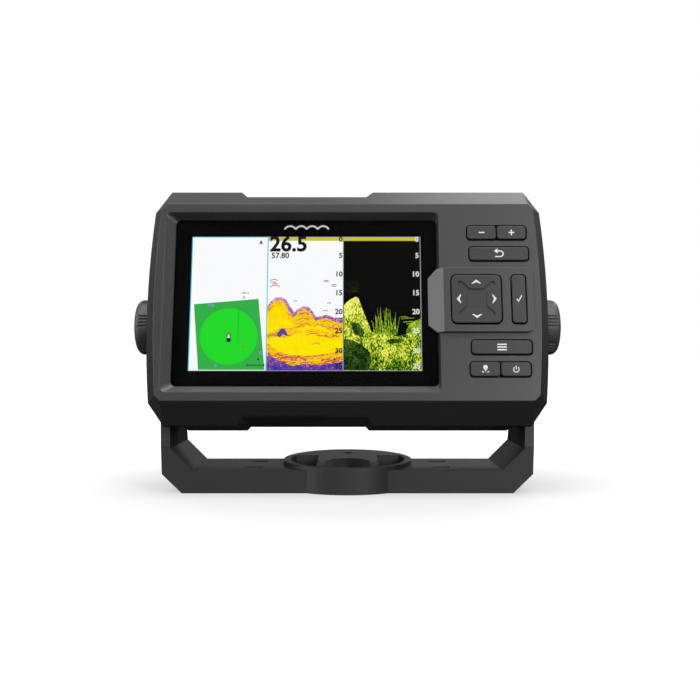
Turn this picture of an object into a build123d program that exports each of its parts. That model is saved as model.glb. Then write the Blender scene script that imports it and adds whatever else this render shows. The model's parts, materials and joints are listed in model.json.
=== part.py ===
"""A marine chartplotter: a sealed housing with a five inch screen and a column of keys, which tilts between
the arms of a moulded bracket and is clamped there by a knob at each side.

Millimetres. The origin is on the bracket's mounting face, at the centre of its round foot, with +X to the
right of somebody facing the screen, +Y away from them and +Z up. The housing and all that it holds are drawn
upright about the tilt axis and are tilted back as they are written. Their depths are counted backwards from
the housing's front face, and their heights from its middle.
"""

import os
from math import cos, radians, sin

from build123d import *

# Screen and window
SCREEN_W = 108.0  # lit area of a five inch 5:3 panel
SCREEN_H = 64.8
BORDER = 7.5  # black border round the lit area
GLASS_LAP = 2.5  # how far the glass reaches behind the lip
GLASS_PLAY = 0.15
GLASS_T = 1.1
TAPE_T = 0.2
INK_T = 0.1
WINDOW_CORNER = 2.5

# Front housing
CREST = 4.1  # flat rim round the sunken window
SLOPE_SIDE = 4.5  # run of the slope down to the glass at the left
SLOPE_END = 3.0  # the same above and below
SLOPE_KEYS = 0.8  # the same beside the keys
SLOPE_DEPTH = 3.2
LIP_T = 0.4
KEY_PANEL_W = 47.6  # from the window's opening to the right edge of the front face
SIDE_CHAMFER = 5.15
END_CHAMFER = 10.0
CHAMFER_DEPTH = 11.4
BARREL = 2.2  # how far the sides bow out
FRONT_CORNER = 2.4
RIM_CORNER_X = 7.5
RIM_CORNER_Z = 10.6
KEY_SKIN = 2.0
NOTCH_DEPTH = 4.1
NOTCH_W = 57.0
NOTCH_SLANT = 3.3

# Rear housing
PART_LINE = 0.3  # shadow gap at the rim between the two housings
PART_LINE_DEPTH = 0.8
FLANGE_T = 2.5
TUB_INSET = 13.45  # from the widest point of the rim to the side of the tub
TUB_STEP = 1.9  # the tub's top and bottom stand this far inside the rim
TUB_CORNER = 2.4
TUB_DEPTH = 46.0  # from the front face to the back
TUB_TAPER = 0.2
BACK_ROUND = 1.5
WALL = 2.5
END_WALL = 5.6  # the top and bottom walls carry the notches and the seal
SEAL_EDGE = 5.0
SEAL_W = 1.2
SEAL_T = 1.2

# Tilt axis
AXIS_DEPTH = 31.4  # from the front face
AXIS_DROP = 5.5  # below the housing's middle
AXIS_Y = -2.5
UNDER_GAP = 26.9  # from the mounting face to the underside of the upright housing
TILT = 12.0

# Keys
ROW_W = 28.5
ROW_H = 7.6
ROW_CORNER = 2.0
ROW_EDGE = 4.7  # from the right edge of the front face to the rows beside the pad
ROW_SHIFT = 0.85  # the outer rows stand this much further in
ROW_SPACE = 3.25  # between the island and the next row
ROW_STEP = 2.7  # between the two rows above or below the island
SELECT_W = 7.4
PAD_SIZE = 23.9
PAD_CORNER = 3.0
KEY_GAP = 0.55
PAIR_GAP = 0.5
KEY_PROUD = 0.8
KEY_ROUND = 0.45
KEY_LAP = 0.7
KEY_FLANGE_T = 1.0
KEY_REST = 0.05
KEY_TRAVEL = 0.6
PAD_ROOM = 1.0  # between the pad's flange and the skin
PAD_FLANGE_T = 0.8
PAD_CENTRE = 9.6
PAD_CENTRE_CORNER = 0.8
PAD_GROOVE_W = 2.2
PAD_GROOVE_L = 23.0
PAD_GROOVE_D = 0.5
BEAD_R = 1.6
BEAD_PLAY = 0.06
BEAD_STAND = 0.15  # the bead's centre behind the pad's flange
HUB_R = 3.2

# Island round the pad and the select key
ISLAND_PROUD = 1.8
ISLAND_EDGE = 3.6  # from the right edge of the front face
ISLAND_SIDE = 3.0  # from the island's left edge to the pad
ISLAND_END = 3.3  # from the pad to the island's top
ISLAND_SPLIT = 3.9  # between the pad and the select key
ISLAND_CORNER = 3.2
RAMP = 7.0
RAMP_CORNER = 4.0

# Keypad layers
MAT_GAP = 0.1
MAT_T = 2.1
MAT_PLAY = 0.3
DOME_R = 2.2
DOME_H = 0.5
PAD_DOME_REACH = 8.0
KEY_BOARD_T = 1.0
KEY_BAY_LEFT = 4.2  # from the window's opening to the bay behind the keys
KEY_BAY_RIGHT = 2.9  # from the right edge of the front face to that bay
KEY_POST_R = 2.2
KEY_POST_X = 4.4
KEY_POST_Z = 34.0

# Screen module
LCD_SIDE = 3.5
LCD_END = 4.5
LCD_GAP = 0.2
LCD_T = 2.2
FRAME_PLAY = 0.25
FRAME_T = 0.8
EAR_W = 7.0
EAR_X = 44.0
EAR_LAND = 5.4  # how far an ear reaches over the front housing
FLEX_W = 18.0
FLEX_T = 0.3
FLEX_DROP = 20.0

# Main board
STANDOFF = 4.0
STANDOFF_R = 2.4
BOARD_W = 126.0
BOARD_H = 76.0
BOARD_T = 1.6
BOARD_HOLE_X = 46.0
BOARD_HOLE_Z = 33.0
SMALL_SCREW_R = 1.0
SMALL_HEAD_R = 1.9
SMALL_HEAD_T = 1.3
SMALL_GRIP = 2.2
SMALL_KEY = 0.8

# What stands on the main board, each place counted from the housing's middle
SHIELD_PLACE = (-10.0, 4.0)
SHIELD_W = 42.0
SHIELD_H = 26.0
SHIELD_T = 3.5
TRANSFORMER_PLACE = (-42.0, -14.0)
TRANSFORMER_SIZE = 15.0
TRANSFORMER_T = 11.0
ANTENNA_PLACE = (8.0, 26.0)
ANTENNA_SIZE = 18.0
ANTENNA_T = 4.5
BLOCK_CORNER = 1.0
CAPACITOR_PLACES = [(-46.0, 16.0), (-34.0, 22.0), (44.0, 2.0)]
CAPACITOR_R = 4.0
CAPACITOR_T = 10.0
BEEPER_PLACE = (46.0, -18.0)
BEEPER_R = 6.0
BEEPER_T = 5.0
BEEPER_HOLE_R = 1.2
BEEPER_HOLE_D = 2.0
FLEX_SLOT_PLAY = 1.0

# Housing screws
SCREW_R = 1.5
SCREW_PLAY = 0.2
SCREW_HEAD_R = 2.8
SCREW_HEAD_T = 2.0
SCREW_BOSS_R = 4.4
SCREW_SIDE = 9.0
SCREW_END = 9.4
SCREW_SEAT = 12.0  # from the part line back to the screw's head
SCREW_BITE = 4.5
SOCKET_KEY = 1.25

# Clamp at each side
BOSS_PROUD = 1.0
BOSS_R = 12.0
CLAMP_GAP = 0.1
RUBBER_T = 2.0
RUBBER_R = 11.0
STUD_R = 4.0
STUD_PLAY = 0.06
STUD_END_GAP = 2.0
INSERT_R = 6.0
INSERT_L = 15.0
INSERT_WALL = 3.0
WASHER_T = 1.0
WASHER_R = 9.0
KNOB_R = 13.4
KNOB_L = 12.3
KNOB_CROWN = 1.0
KNOB_SHOULDER = 3.4
KNOB_CAP_R = 6.0
KNOB_EASE = 0.8
RIB_R = 0.55
RIB_ANGLE = 7.0
RIB_GROUPS = 6
RIBS = 4

# Bracket
ARM_T = 4.4
ARM_LEAN = 2.0  # degrees outwards
ARM_PAD_T = 6.0
ARM_PAD_R = 12.0
ARM_HEAD_R = 15.0
ARM_HOLE_PLAY = 0.35
BRACKET_DEPTH = 50.0
BASE_T = 10.8
CORNER_RISE = 10.1  # inner bevel between the base and an arm
OUTER_BEVEL = 9.0
ARM_FULL_Z = 22.0
FOOT_R = 31.4
FOOT_FRONT_T = 12.2
FOOT_BACK_T = 15.0
FOOT_WALL = 3.0
BOWL_R = 12.0
BOWL_FLOOR = 6.0
BOWL_TAPER = 30.0
BOWL_BACK = 2.0
RIDGE_T = 2.5
LOBE_FLOOR = 7.0
LOBE_TAPER = 8.0
LOBE_BACK = 11.0
FOOT_HOLE_CIRCLE = 18.5
HOLE_R = 2.4
SLOT_X = 45.0
SLOT_SPACING = 24.0
SLOT_L = 9.3
SLOT_WALL = 2.2
DECK_T = 3.0
SKIRT_T = 2.6

# Sockets
SOCKET_X = 17.0
SOCKET_DROP = 22.0
BAY_W = 66.0
BAY_H = 27.0
BAY_DEPTH = 9.0
BAY_CORNER = 4.0
SHELL_R = 8.0
SHELL_BORE = 6.3
SHELL_L = 8.5
SHELL_COLLAR_R = 10.0
SHELL_COLLAR_T = 1.5
SHANK_R = 7.0
SHANK_PLAY = 0.15
SHANK_L = 7.0
NUT_ACROSS = 19.0
NUT_T = 2.5
ORING_T = 0.6
ORING_GROOVE = 0.5
PIN_R = 0.6
PIN_L = 5.5
PIN_CIRCLE = 3.6
SOCKET_KEYWAY_W = 2.0
SOCKET_KEYWAY_H = 1.6
POWER_PINS = 4
TRANSDUCER_PINS = 7
VENT_R = 4.0
VENT_T = 0.8
VENT_X = 45.0

# Worked out
WINDOW_W = SCREEN_W + 2 * BORDER
WINDOW_H = SCREEN_H + 2 * BORDER
FRONT_W = CREST + SLOPE_SIDE + WINDOW_W + KEY_PANEL_W
FRONT_H = WINDOW_H + 2 * (SLOPE_END + CREST)
RIM_W = FRONT_W + 2 * SIDE_CHAMFER
RIM_H = FRONT_H + 2 * END_CHAMFER
FACE_RIGHT = FRONT_W / 2
WINDOW_LEFT = CREST + SLOPE_SIDE - FACE_RIGHT
WINDOW_RIGHT = WINDOW_LEFT + WINDOW_W
SCREEN_X = (WINDOW_LEFT + WINDOW_RIGHT) / 2
LIP_BACK = SLOPE_DEPTH + LIP_T
GLASS_FRONT = LIP_BACK + TAPE_T
GLASS_W = WINDOW_W + 2 * GLASS_LAP
GLASS_H = WINDOW_H + 2 * GLASS_LAP
INK_BACK = GLASS_FRONT + GLASS_T + INK_T
LCD_FRONT = INK_BACK + LCD_GAP
LCD_W = SCREEN_W + 2 * LCD_SIDE
LCD_H = SCREEN_H + 2 * LCD_END
LCD_BACK = CHAMFER_DEPTH
BACKLIGHT_T = LCD_BACK - LCD_FRONT - LCD_T
FRAME_W = LCD_W + 2 * (FRAME_PLAY + FRAME_T)
FRAME_H = LCD_H + 2 * (FRAME_PLAY + FRAME_T)
BOARD_FRONT = LCD_BACK + FRAME_T + STANDOFF
BOARD_BACK = BOARD_FRONT + BOARD_T
FLANGE_BACK = CHAMFER_DEPTH + FLANGE_T
TUB_W = RIM_W - 2 * TUB_INSET
TUB_H = RIM_H - 2 * TUB_STEP
CAVITY_W = TUB_W - 2 * WALL
CAVITY_H = TUB_H - 2 * END_WALL
PAD_RIGHT = WINDOW_RIGHT + GLASS_LAP + ISLAND_SIDE + PAD_SIZE
PAD_X = PAD_RIGHT - PAD_SIZE / 2
SELECT_X = PAD_RIGHT + ISLAND_SPLIT + SELECT_W / 2
ISLAND_LEFT = PAD_RIGHT - PAD_SIZE - ISLAND_SIDE
ISLAND_RIGHT = FACE_RIGHT - ISLAND_EDGE
ISLAND_H = PAD_SIZE + 2 * ISLAND_END
INNER_Z = ISLAND_H / 2 + ROW_SPACE + ROW_H / 2
OUTER_Z = INNER_Z + ROW_STEP + ROW_H
INNER_X = FACE_RIGHT - ROW_EDGE - ROW_W / 2
OUTER_X = INNER_X - ROW_SHIFT
HALF_KEY = (ROW_W - PAIR_GAP) / 2 - KEY_GAP
MAT_FRONT = KEY_SKIN + KEY_REST + KEY_FLANGE_T + KEY_TRAVEL + MAT_GAP
KEY_BOARD_FRONT = MAT_FRONT + MAT_T + DOME_H
KEY_BAY_X0 = WINDOW_RIGHT + KEY_BAY_LEFT
KEY_BAY_X1 = FACE_RIGHT - KEY_BAY_RIGHT
PAD_FLANGE_FRONT = KEY_SKIN + PAD_ROOM
BEAD_DEPTH = PAD_FLANGE_FRONT + PAD_FLANGE_T + BEAD_STAND
AXIS_Z = RIM_H / 2 - AXIS_DROP + UNDER_GAP
BOSS_FACE = TUB_W / 2 + BOSS_PROUD
PAD_INNER = BOSS_FACE + RUBBER_T + CLAMP_GAP
PAD_OUTER = PAD_INNER + ARM_PAD_T
WASHER_FACE = PAD_OUTER + CLAMP_GAP
KNOB_FACE = WASHER_FACE + WASHER_T
SHOULDER_MID = KNOB_SHOULDER * (1 - cos(radians(45)))
BAY_FLOOR = TUB_DEPTH - BAY_DEPTH
SCREW_HEAD_DEPTH = CHAMFER_DEPTH + SCREW_SEAT
TILTED = Location((0, AXIS_Y, AXIS_Z), (-TILT, 0, 0))
SCREW_PLACES = [
    (x, z * (RIM_H / 2 - SCREW_END))
    for x in (-TUB_W / 2 + SCREW_SIDE, SCREEN_X, TUB_W / 2 - SCREW_SIDE)
    for z in (-1, 1)
]
KEY_POSTS = [(KEY_BAY_X0 + KEY_POST_X, z * KEY_POST_Z) for z in (-1, 1)]
BOARD_PLACES = [(SCREEN_X + x * BOARD_HOLE_X, z * BOARD_HOLE_Z) for x in (-1, 1) for z in (-1, 1)]
EAR_Z = GLASS_H / 2 + GLASS_PLAY + EAR_LAND / 2
EAR_PLACES = [(SCREEN_X + x * EAR_X, z * EAR_Z) for x in (-1, 1) for z in (-1, 1)]

os.makedirs("parts", exist_ok=True)


def facing(depth):
    """The plane across the housing at this depth, with X to the right and Y up."""
    return Plane(origin=(0, depth - AXIS_DEPTH, AXIS_DROP), x_dir=(1, 0, 0), z_dir=(0, -1, 0))


def across(distance, side=1):
    """The plane square to the tilt axis, this far out to one side and facing out, centred on the axis."""
    return Plane(origin=(side * distance, 0, 0), x_dir=(0, side, 0), z_dir=(side, 0, 0))


def write(piece, name, place=None):
    piece.label = name
    if place is not None:
        piece = place * piece
        piece.label = name
    export_step(piece, f"parts/{name}.step")


def housing_outline(width, height, corner_x, corner_z):
    """An upright outline with bowed sides and bevelled corners, drawn into the open sketch."""
    x = width / 2
    z = height / 2
    with BuildLine() as outline:
        right = ThreePointArc((x - BARREL, corner_z - z), (x, 0), (x - BARREL, z - corner_z))
        top = Line((x - BARREL - corner_x, z), (BARREL + corner_x - x, z))
        left = ThreePointArc((BARREL - x, z - corner_z), (-x, 0), (BARREL - x, corner_z - z))
        bottom = Line((BARREL + corner_x - x, -z), (x - BARREL - corner_x, -z))
        Line(right @ 1, top @ 0)
        Line(top @ 1, left @ 0)
        Line(left @ 1, bottom @ 0)
        Line(bottom @ 1, right @ 0)
    make_face(outline.edges())


def notch_outline(side):
    """The shallow recess along the top or the bottom, in line with the screen."""
    floor = side * (RIM_H / 2 - NOTCH_DEPTH)
    top = side * (RIM_H / 2 + NOTCH_DEPTH)
    narrow = NOTCH_W / 2
    wide = narrow + 2 * NOTCH_SLANT
    with BuildLine() as outline:
        Polyline(
            (SCREEN_X - narrow, floor),
            (SCREEN_X + narrow, floor),
            (SCREEN_X + wide, top),
            (SCREEN_X - wide, top),
            close=True,
        )
    make_face(outline.edges())


def seal_ring(width):
    """The seal's track round the joint, this wide."""
    housing_outline(RIM_W, RIM_H, RIM_CORNER_X, RIM_CORNER_Z)
    offset(amount=-SEAL_EDGE, kind=Kind.INTERSECTION)
    offset(amount=-width, kind=Kind.INTERSECTION, mode=Mode.SUBTRACT)


# Front housing: a bevelled frame with the sunken window, the key openings and the raised island
with BuildPart() as front_housing:
    with BuildSketch(facing(0)):
        housing_outline(FRONT_W, FRONT_H, FRONT_CORNER, FRONT_CORNER)
    with BuildSketch(facing(CHAMFER_DEPTH - PART_LINE)):
        housing_outline(RIM_W, RIM_H, RIM_CORNER_X, RIM_CORNER_Z)
    loft(ruled=True)
    with BuildSketch(facing(CHAMFER_DEPTH - PART_LINE)):
        housing_outline(RIM_W, RIM_H, RIM_CORNER_X, RIM_CORNER_Z)
        offset(amount=-PART_LINE_DEPTH, kind=Kind.INTERSECTION)
    extrude(amount=-PART_LINE)
    with BuildSketch(facing(0)):
        with Locations(((SLOPE_KEYS - SLOPE_SIDE) / 2 + SCREEN_X, 0)):
            RectangleRounded(
                WINDOW_W + SLOPE_SIDE + SLOPE_KEYS, WINDOW_H + 2 * SLOPE_END, WINDOW_CORNER
            )
    with BuildSketch(facing(SLOPE_DEPTH)):
        with Locations((SCREEN_X, 0)):
            RectangleRounded(WINDOW_W, WINDOW_H, WINDOW_CORNER)
    loft(ruled=True, mode=Mode.SUBTRACT)
    with BuildSketch(facing(-ISLAND_PROUD)) as island_sketch:
        with BuildLine():
            Polyline(
                (ISLAND_RIGHT, -ISLAND_H / 2),
                (ISLAND_RIGHT, ISLAND_H / 2),
                (ISLAND_LEFT - RAMP + RAMP_CORNER, ISLAND_H / 2),
                (ISLAND_LEFT - RAMP, ISLAND_H / 2 - RAMP_CORNER),
                (ISLAND_LEFT - RAMP, RAMP_CORNER - ISLAND_H / 2),
                (ISLAND_LEFT - RAMP + RAMP_CORNER, -ISLAND_H / 2),
                close=True,
            )
        make_face()
        fillet(island_sketch.vertices().group_by(Axis.X)[-1], ISLAND_CORNER)
    extrude(amount=-(ISLAND_PROUD + LIP_BACK))
    with BuildSketch(Plane.XY.offset(AXIS_DROP - ISLAND_H)):
        with BuildLine():
            Polyline(
                (ISLAND_LEFT, -AXIS_DEPTH - ISLAND_PROUD),
                (ISLAND_LEFT - RAMP, SLOPE_DEPTH - AXIS_DEPTH),
                (ISLAND_LEFT - 2 * RAMP, SLOPE_DEPTH - AXIS_DEPTH),
                (ISLAND_LEFT - 2 * RAMP, -AXIS_DEPTH - 2 * ISLAND_PROUD),
                (ISLAND_LEFT, -AXIS_DEPTH - 2 * ISLAND_PROUD),
                close=True,
            )
        make_face()
    extrude(amount=2 * ISLAND_H, mode=Mode.SUBTRACT)
    with BuildSketch(facing(SLOPE_DEPTH)):
        with Locations((SCREEN_X, 0)):
            RectangleRounded(WINDOW_W, WINDOW_H, WINDOW_CORNER)
        with BuildLine():
            Polyline(
                (WINDOW_RIGHT + RAMP, -ISLAND_H / 2),
                (WINDOW_RIGHT + RAMP, ISLAND_H / 2),
                (ISLAND_LEFT - RAMP + RAMP_CORNER, ISLAND_H / 2),
                (ISLAND_LEFT - RAMP, ISLAND_H / 2 - RAMP_CORNER),
                (ISLAND_LEFT - RAMP, RAMP_CORNER - ISLAND_H / 2),
                (ISLAND_LEFT - RAMP + RAMP_CORNER, -ISLAND_H / 2),
                close=True,
            )
        make_face(mode=Mode.SUBTRACT)
    extrude(amount=-CHAMFER_DEPTH, mode=Mode.SUBTRACT)
    with BuildSketch(facing(LIP_BACK)):
        with Locations((SCREEN_X, 0)):
            Rectangle(GLASS_W + 2 * GLASS_PLAY, GLASS_H + 2 * GLASS_PLAY)
    extrude(amount=-CHAMFER_DEPTH, mode=Mode.SUBTRACT)
    with BuildSketch(facing(KEY_SKIN)):
        with Locations(((KEY_BAY_X0 + KEY_BAY_X1) / 2, 0)):
            Rectangle(KEY_BAY_X1 - KEY_BAY_X0, GLASS_H)
        with Locations(KEY_POSTS):
            Circle(KEY_POST_R, mode=Mode.SUBTRACT)
    extrude(amount=-CHAMFER_DEPTH, mode=Mode.SUBTRACT)
    with BuildSketch(facing(KEY_BOARD_FRONT)):
        with Locations(((SCREEN_X - GLASS_W / 2 - GLASS_PLAY + KEY_BAY_X1) / 2, 0)):
            Rectangle(KEY_BAY_X1 - SCREEN_X + GLASS_W / 2 + GLASS_PLAY, GLASS_H)
    extrude(amount=-CHAMFER_DEPTH, mode=Mode.SUBTRACT)
    with BuildSketch(facing(-2 * ISLAND_PROUD)):
        with Locations((INNER_X, INNER_Z), (INNER_X, -INNER_Z), (OUTER_X, OUTER_Z), (OUTER_X, -OUTER_Z)):
            RectangleRounded(ROW_W, ROW_H, ROW_CORNER)
        with Locations((PAD_X, 0)):
            RectangleRounded(PAD_SIZE, PAD_SIZE, PAD_CORNER)
        with Locations((SELECT_X, 0)):
            RectangleRounded(SELECT_W, PAD_SIZE, ROW_CORNER)
    extrude(amount=-CHAMFER_DEPTH, mode=Mode.SUBTRACT)
    with BuildSketch(facing(KEY_BOARD_FRONT)):
        with Locations(KEY_POSTS):
            Circle(SMALL_SCREW_R)
    extrude(amount=SMALL_GRIP, mode=Mode.SUBTRACT)
    with BuildSketch(facing(CHAMFER_DEPTH)):
        with Locations(EAR_PLACES):
            Circle(SMALL_SCREW_R)
    extrude(amount=SMALL_GRIP, mode=Mode.SUBTRACT)
    with BuildSketch(facing(CHAMFER_DEPTH)):
        with Locations(SCREW_PLACES):
            Circle(SCREW_R)
    extrude(amount=SCREW_BITE, mode=Mode.SUBTRACT)
    with BuildSketch(facing(-CHAMFER_DEPTH)):
        notch_outline(1)
        notch_outline(-1)
    extrude(amount=-3 * CHAMFER_DEPTH, mode=Mode.SUBTRACT)
write(front_housing.part, "front_housing", TILTED)

# Rear housing: a flange, the tub behind it, and the tub's bosses, socket bay and counterbored screw holes
with BuildPart() as rear_housing:
    with BuildSketch(facing(CHAMFER_DEPTH)):
        housing_outline(RIM_W, RIM_H, RIM_CORNER_X, RIM_CORNER_Z)
    extrude(amount=-FLANGE_T)
    with BuildSketch(facing(FLANGE_BACK)):
        tub_outline = Rectangle(TUB_W, TUB_H)
        chamfer(tub_outline.vertices(), TUB_CORNER)
    with BuildSketch(facing(TUB_DEPTH)):
        tub_outline = Rectangle(TUB_W - 2 * TUB_TAPER, TUB_H - 2 * TUB_TAPER)
        chamfer(tub_outline.vertices(), TUB_CORNER)
    loft(ruled=True)
    fillet(rear_housing.faces().sort_by(Axis.Y)[-1].edges(), BACK_ROUND)
    with BuildSketch(across(TUB_W / 2 - WALL), across(TUB_W / 2 - WALL, -1)):
        Circle(BOSS_R)
    extrude(amount=WALL + BOSS_PROUD)
    with BuildSketch(facing(CHAMFER_DEPTH)):
        Rectangle(CAVITY_W, CAVITY_H)
        with Locations(SCREW_PLACES):
            Circle(SCREW_BOSS_R, mode=Mode.SUBTRACT)
    extrude(amount=-(TUB_DEPTH - WALL - CHAMFER_DEPTH), mode=Mode.SUBTRACT)
    for side in (-1, 1):
        with BuildSketch(across(TUB_W / 2 - WALL, side)):
            Circle(INSERT_R + INSERT_WALL)
        extrude(amount=-(INSERT_L + BOSS_PROUD))
        with BuildSketch(across(BOSS_FACE, side)):
            Circle(INSERT_R)
        extrude(amount=-INSERT_L, mode=Mode.SUBTRACT)
    with BuildSketch(facing(BAY_FLOOR - WALL)):
        with Locations((0, -SOCKET_DROP)):
            RectangleRounded(BAY_W + 2 * WALL, BAY_H + 2 * WALL, BAY_CORNER)
    extrude(amount=-BAY_DEPTH)
    with BuildSketch(facing(BAY_FLOOR)):
        with Locations((0, -SOCKET_DROP)):
            RectangleRounded(BAY_W, BAY_H, BAY_CORNER)
    extrude(amount=-2 * BAY_DEPTH, mode=Mode.SUBTRACT)
    with BuildSketch(facing(BAY_FLOOR)):
        with Locations((-SOCKET_X, -SOCKET_DROP), (SOCKET_X, -SOCKET_DROP)):
            Circle(SHANK_R + SHANK_PLAY)
    extrude(amount=2 * WALL, mode=Mode.SUBTRACT)
    with BuildSketch(facing(TUB_DEPTH)):
        with Locations((VENT_X, 0)):
            Circle(VENT_R)
    extrude(amount=VENT_T, mode=Mode.SUBTRACT)
    with BuildSketch(facing(TUB_DEPTH)):
        with Locations((VENT_X, 0)):
            Circle(VENT_R / 3)
    extrude(amount=2 * WALL, mode=Mode.SUBTRACT)
    with BuildSketch(facing(CHAMFER_DEPTH)):
        seal_ring(SEAL_W)
    extrude(amount=-SEAL_T, mode=Mode.SUBTRACT)
    with BuildSketch(facing(CHAMFER_DEPTH)):
        with Locations(SCREW_PLACES):
            Circle(SCREW_R + SCREW_PLAY)
    extrude(amount=-TUB_DEPTH, mode=Mode.SUBTRACT)
    with BuildSketch(facing(SCREW_HEAD_DEPTH)):
        with Locations(SCREW_PLACES):
            Circle(SCREW_HEAD_R + SCREW_PLAY)
    extrude(amount=-TUB_DEPTH, mode=Mode.SUBTRACT)
    with BuildSketch(facing(0)):
        notch_outline(1)
        notch_outline(-1)
    extrude(amount=-2 * TUB_DEPTH, mode=Mode.SUBTRACT)
write(rear_housing.part, "rear_housing", TILTED)

with BuildPart() as housing_seal:
    with BuildSketch(facing(CHAMFER_DEPTH)):
        seal_ring(SEAL_W)
    extrude(amount=-SEAL_T)
write(housing_seal.part, "housing_seal", TILTED)

with BuildPart() as housing_screws:
    with BuildSketch(facing(CHAMFER_DEPTH - SCREW_BITE)):
        with Locations(SCREW_PLACES):
            Circle(SCREW_R)
    extrude(amount=-(SCREW_BITE + SCREW_SEAT))
    with BuildSketch(facing(SCREW_HEAD_DEPTH)):
        with Locations(SCREW_PLACES):
            Circle(SCREW_HEAD_R)
    extrude(amount=-SCREW_HEAD_T)
    with BuildSketch(facing(SCREW_HEAD_DEPTH + SCREW_HEAD_T)):
        with Locations(SCREW_PLACES):
            RegularPolygon(SOCKET_KEY, 6)
    extrude(amount=SCREW_HEAD_T / 2, mode=Mode.SUBTRACT)
write(housing_screws.part, "housing_screws", TILTED)


# Window, its tape and its printed border
with BuildPart() as window_tape:
    with BuildSketch(facing(LIP_BACK)):
        with Locations((SCREEN_X, 0)):
            Rectangle(GLASS_W, GLASS_H)
            RectangleRounded(WINDOW_W, WINDOW_H, WINDOW_CORNER, mode=Mode.SUBTRACT)
    extrude(amount=-TAPE_T)
write(window_tape.part, "window_tape", TILTED)

with BuildPart() as display_window:
    with BuildSketch(facing(GLASS_FRONT)):
        with Locations((SCREEN_X, 0)):
            Rectangle(GLASS_W, GLASS_H)
    extrude(amount=-GLASS_T)
write(display_window.part, "display_window", TILTED)

with BuildPart() as window_mask:
    with BuildSketch(facing(GLASS_FRONT + GLASS_T)):
        with Locations((SCREEN_X, 0)):
            Rectangle(GLASS_W, GLASS_H)
            Rectangle(SCREEN_W, SCREEN_H, mode=Mode.SUBTRACT)
    extrude(amount=-INK_T)
write(window_mask.part, "window_mask", TILTED)

# Screen module in its pressed frame
with BuildPart() as lcd_panel:
    with BuildSketch(facing(LCD_FRONT)):
        with Locations((SCREEN_X, 0)):
            Rectangle(LCD_W, LCD_H)
    extrude(amount=-LCD_T)
write(lcd_panel.part, "lcd_panel", TILTED)

with BuildPart() as lcd_backlight:
    with BuildSketch(facing(LCD_FRONT + LCD_T)):
        with Locations((SCREEN_X, 0)):
            Rectangle(LCD_W, LCD_H)
    extrude(amount=-BACKLIGHT_T)
write(lcd_backlight.part, "lcd_backlight", TILTED)

with BuildPart() as lcd_frame:
    with BuildSketch(facing(LCD_FRONT)):
        with Locations((SCREEN_X, 0)):
            Rectangle(FRAME_W, FRAME_H)
    extrude(amount=-(LCD_T + BACKLIGHT_T + FRAME_T))
    with BuildSketch(facing(LCD_FRONT)):
        with Locations((SCREEN_X, 0)):
            Rectangle(LCD_W + 2 * FRAME_PLAY, LCD_H + 2 * FRAME_PLAY)
    extrude(amount=-(LCD_T + BACKLIGHT_T), mode=Mode.SUBTRACT)
    with BuildSketch(facing(LCD_BACK)):
        with Locations((SCREEN_X - EAR_X, 0), (SCREEN_X + EAR_X, 0)):
            Rectangle(EAR_W, 2 * EAR_Z + EAR_LAND)
    extrude(amount=-FRAME_T)
    with BuildSketch(facing(LCD_BACK + FRAME_T)):
        with Locations(BOARD_PLACES):
            Circle(STANDOFF_R)
    extrude(amount=-STANDOFF)
    with BuildSketch(facing(BOARD_FRONT)):
        with Locations(BOARD_PLACES):
            Circle(SMALL_SCREW_R)
    extrude(amount=SMALL_GRIP, mode=Mode.SUBTRACT)
    with BuildSketch(facing(0)):
        with Locations(EAR_PLACES):
            Circle(SMALL_SCREW_R)
    extrude(amount=-TUB_DEPTH, mode=Mode.SUBTRACT)
    with BuildSketch(facing(LCD_BACK)):
        with Locations((SCREEN_X, -FLEX_DROP)):
            Rectangle(FLEX_W + 2 * FLEX_SLOT_PLAY, FLEX_T + 2 * FLEX_SLOT_PLAY)
    extrude(amount=-FRAME_T, mode=Mode.SUBTRACT)
write(lcd_frame.part, "lcd_frame", TILTED)

with BuildPart() as lcd_flex:
    with BuildSketch(facing(LCD_BACK)):
        with Locations((SCREEN_X, -FLEX_DROP)):
            Rectangle(FLEX_W, FLEX_T)
    extrude(amount=-(FRAME_T + STANDOFF))
write(lcd_flex.part, "lcd_flex", TILTED)


def small_screws(places, under_head, grip):
    """Pan head screws driven from behind, with their heads seated at this depth."""
    with BuildPart() as screws:
        with BuildSketch(facing(under_head)):
            with Locations(places):
                Circle(SMALL_SCREW_R)
        extrude(amount=grip)
        with BuildSketch(facing(under_head)):
            with Locations(places):
                Circle(SMALL_HEAD_R)
        extrude(amount=-SMALL_HEAD_T)
        with BuildSketch(facing(under_head + SMALL_HEAD_T)):
            with Locations(places):
                RegularPolygon(SMALL_KEY, 6)
        extrude(amount=SMALL_HEAD_T / 2, mode=Mode.SUBTRACT)
    return screws.part


write(small_screws(EAR_PLACES, LCD_BACK + FRAME_T, FRAME_T + SMALL_GRIP), "frame_screws", TILTED)
write(small_screws(BOARD_PLACES, BOARD_BACK, BOARD_T + SMALL_GRIP), "board_screws", TILTED)
KEY_BOARD_BACK = KEY_BOARD_FRONT + KEY_BOARD_T
write(small_screws(KEY_POSTS, KEY_BOARD_BACK, KEY_BOARD_T + SMALL_GRIP), "keypad_screws", TILTED)

# Main board and what stands on its back
with BuildPart() as main_board:
    with BuildSketch(facing(BOARD_FRONT)):
        with Locations((SCREEN_X + BOARD_W / 2 - BOARD_HOLE_X - STANDOFF_R, 0)):
            RectangleRounded(BOARD_W, BOARD_H, STANDOFF_R)
        with Locations(BOARD_PLACES):
            Circle(SMALL_SCREW_R, mode=Mode.SUBTRACT)
    extrude(amount=-BOARD_T)
write(main_board.part, "main_board", TILTED)


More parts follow.
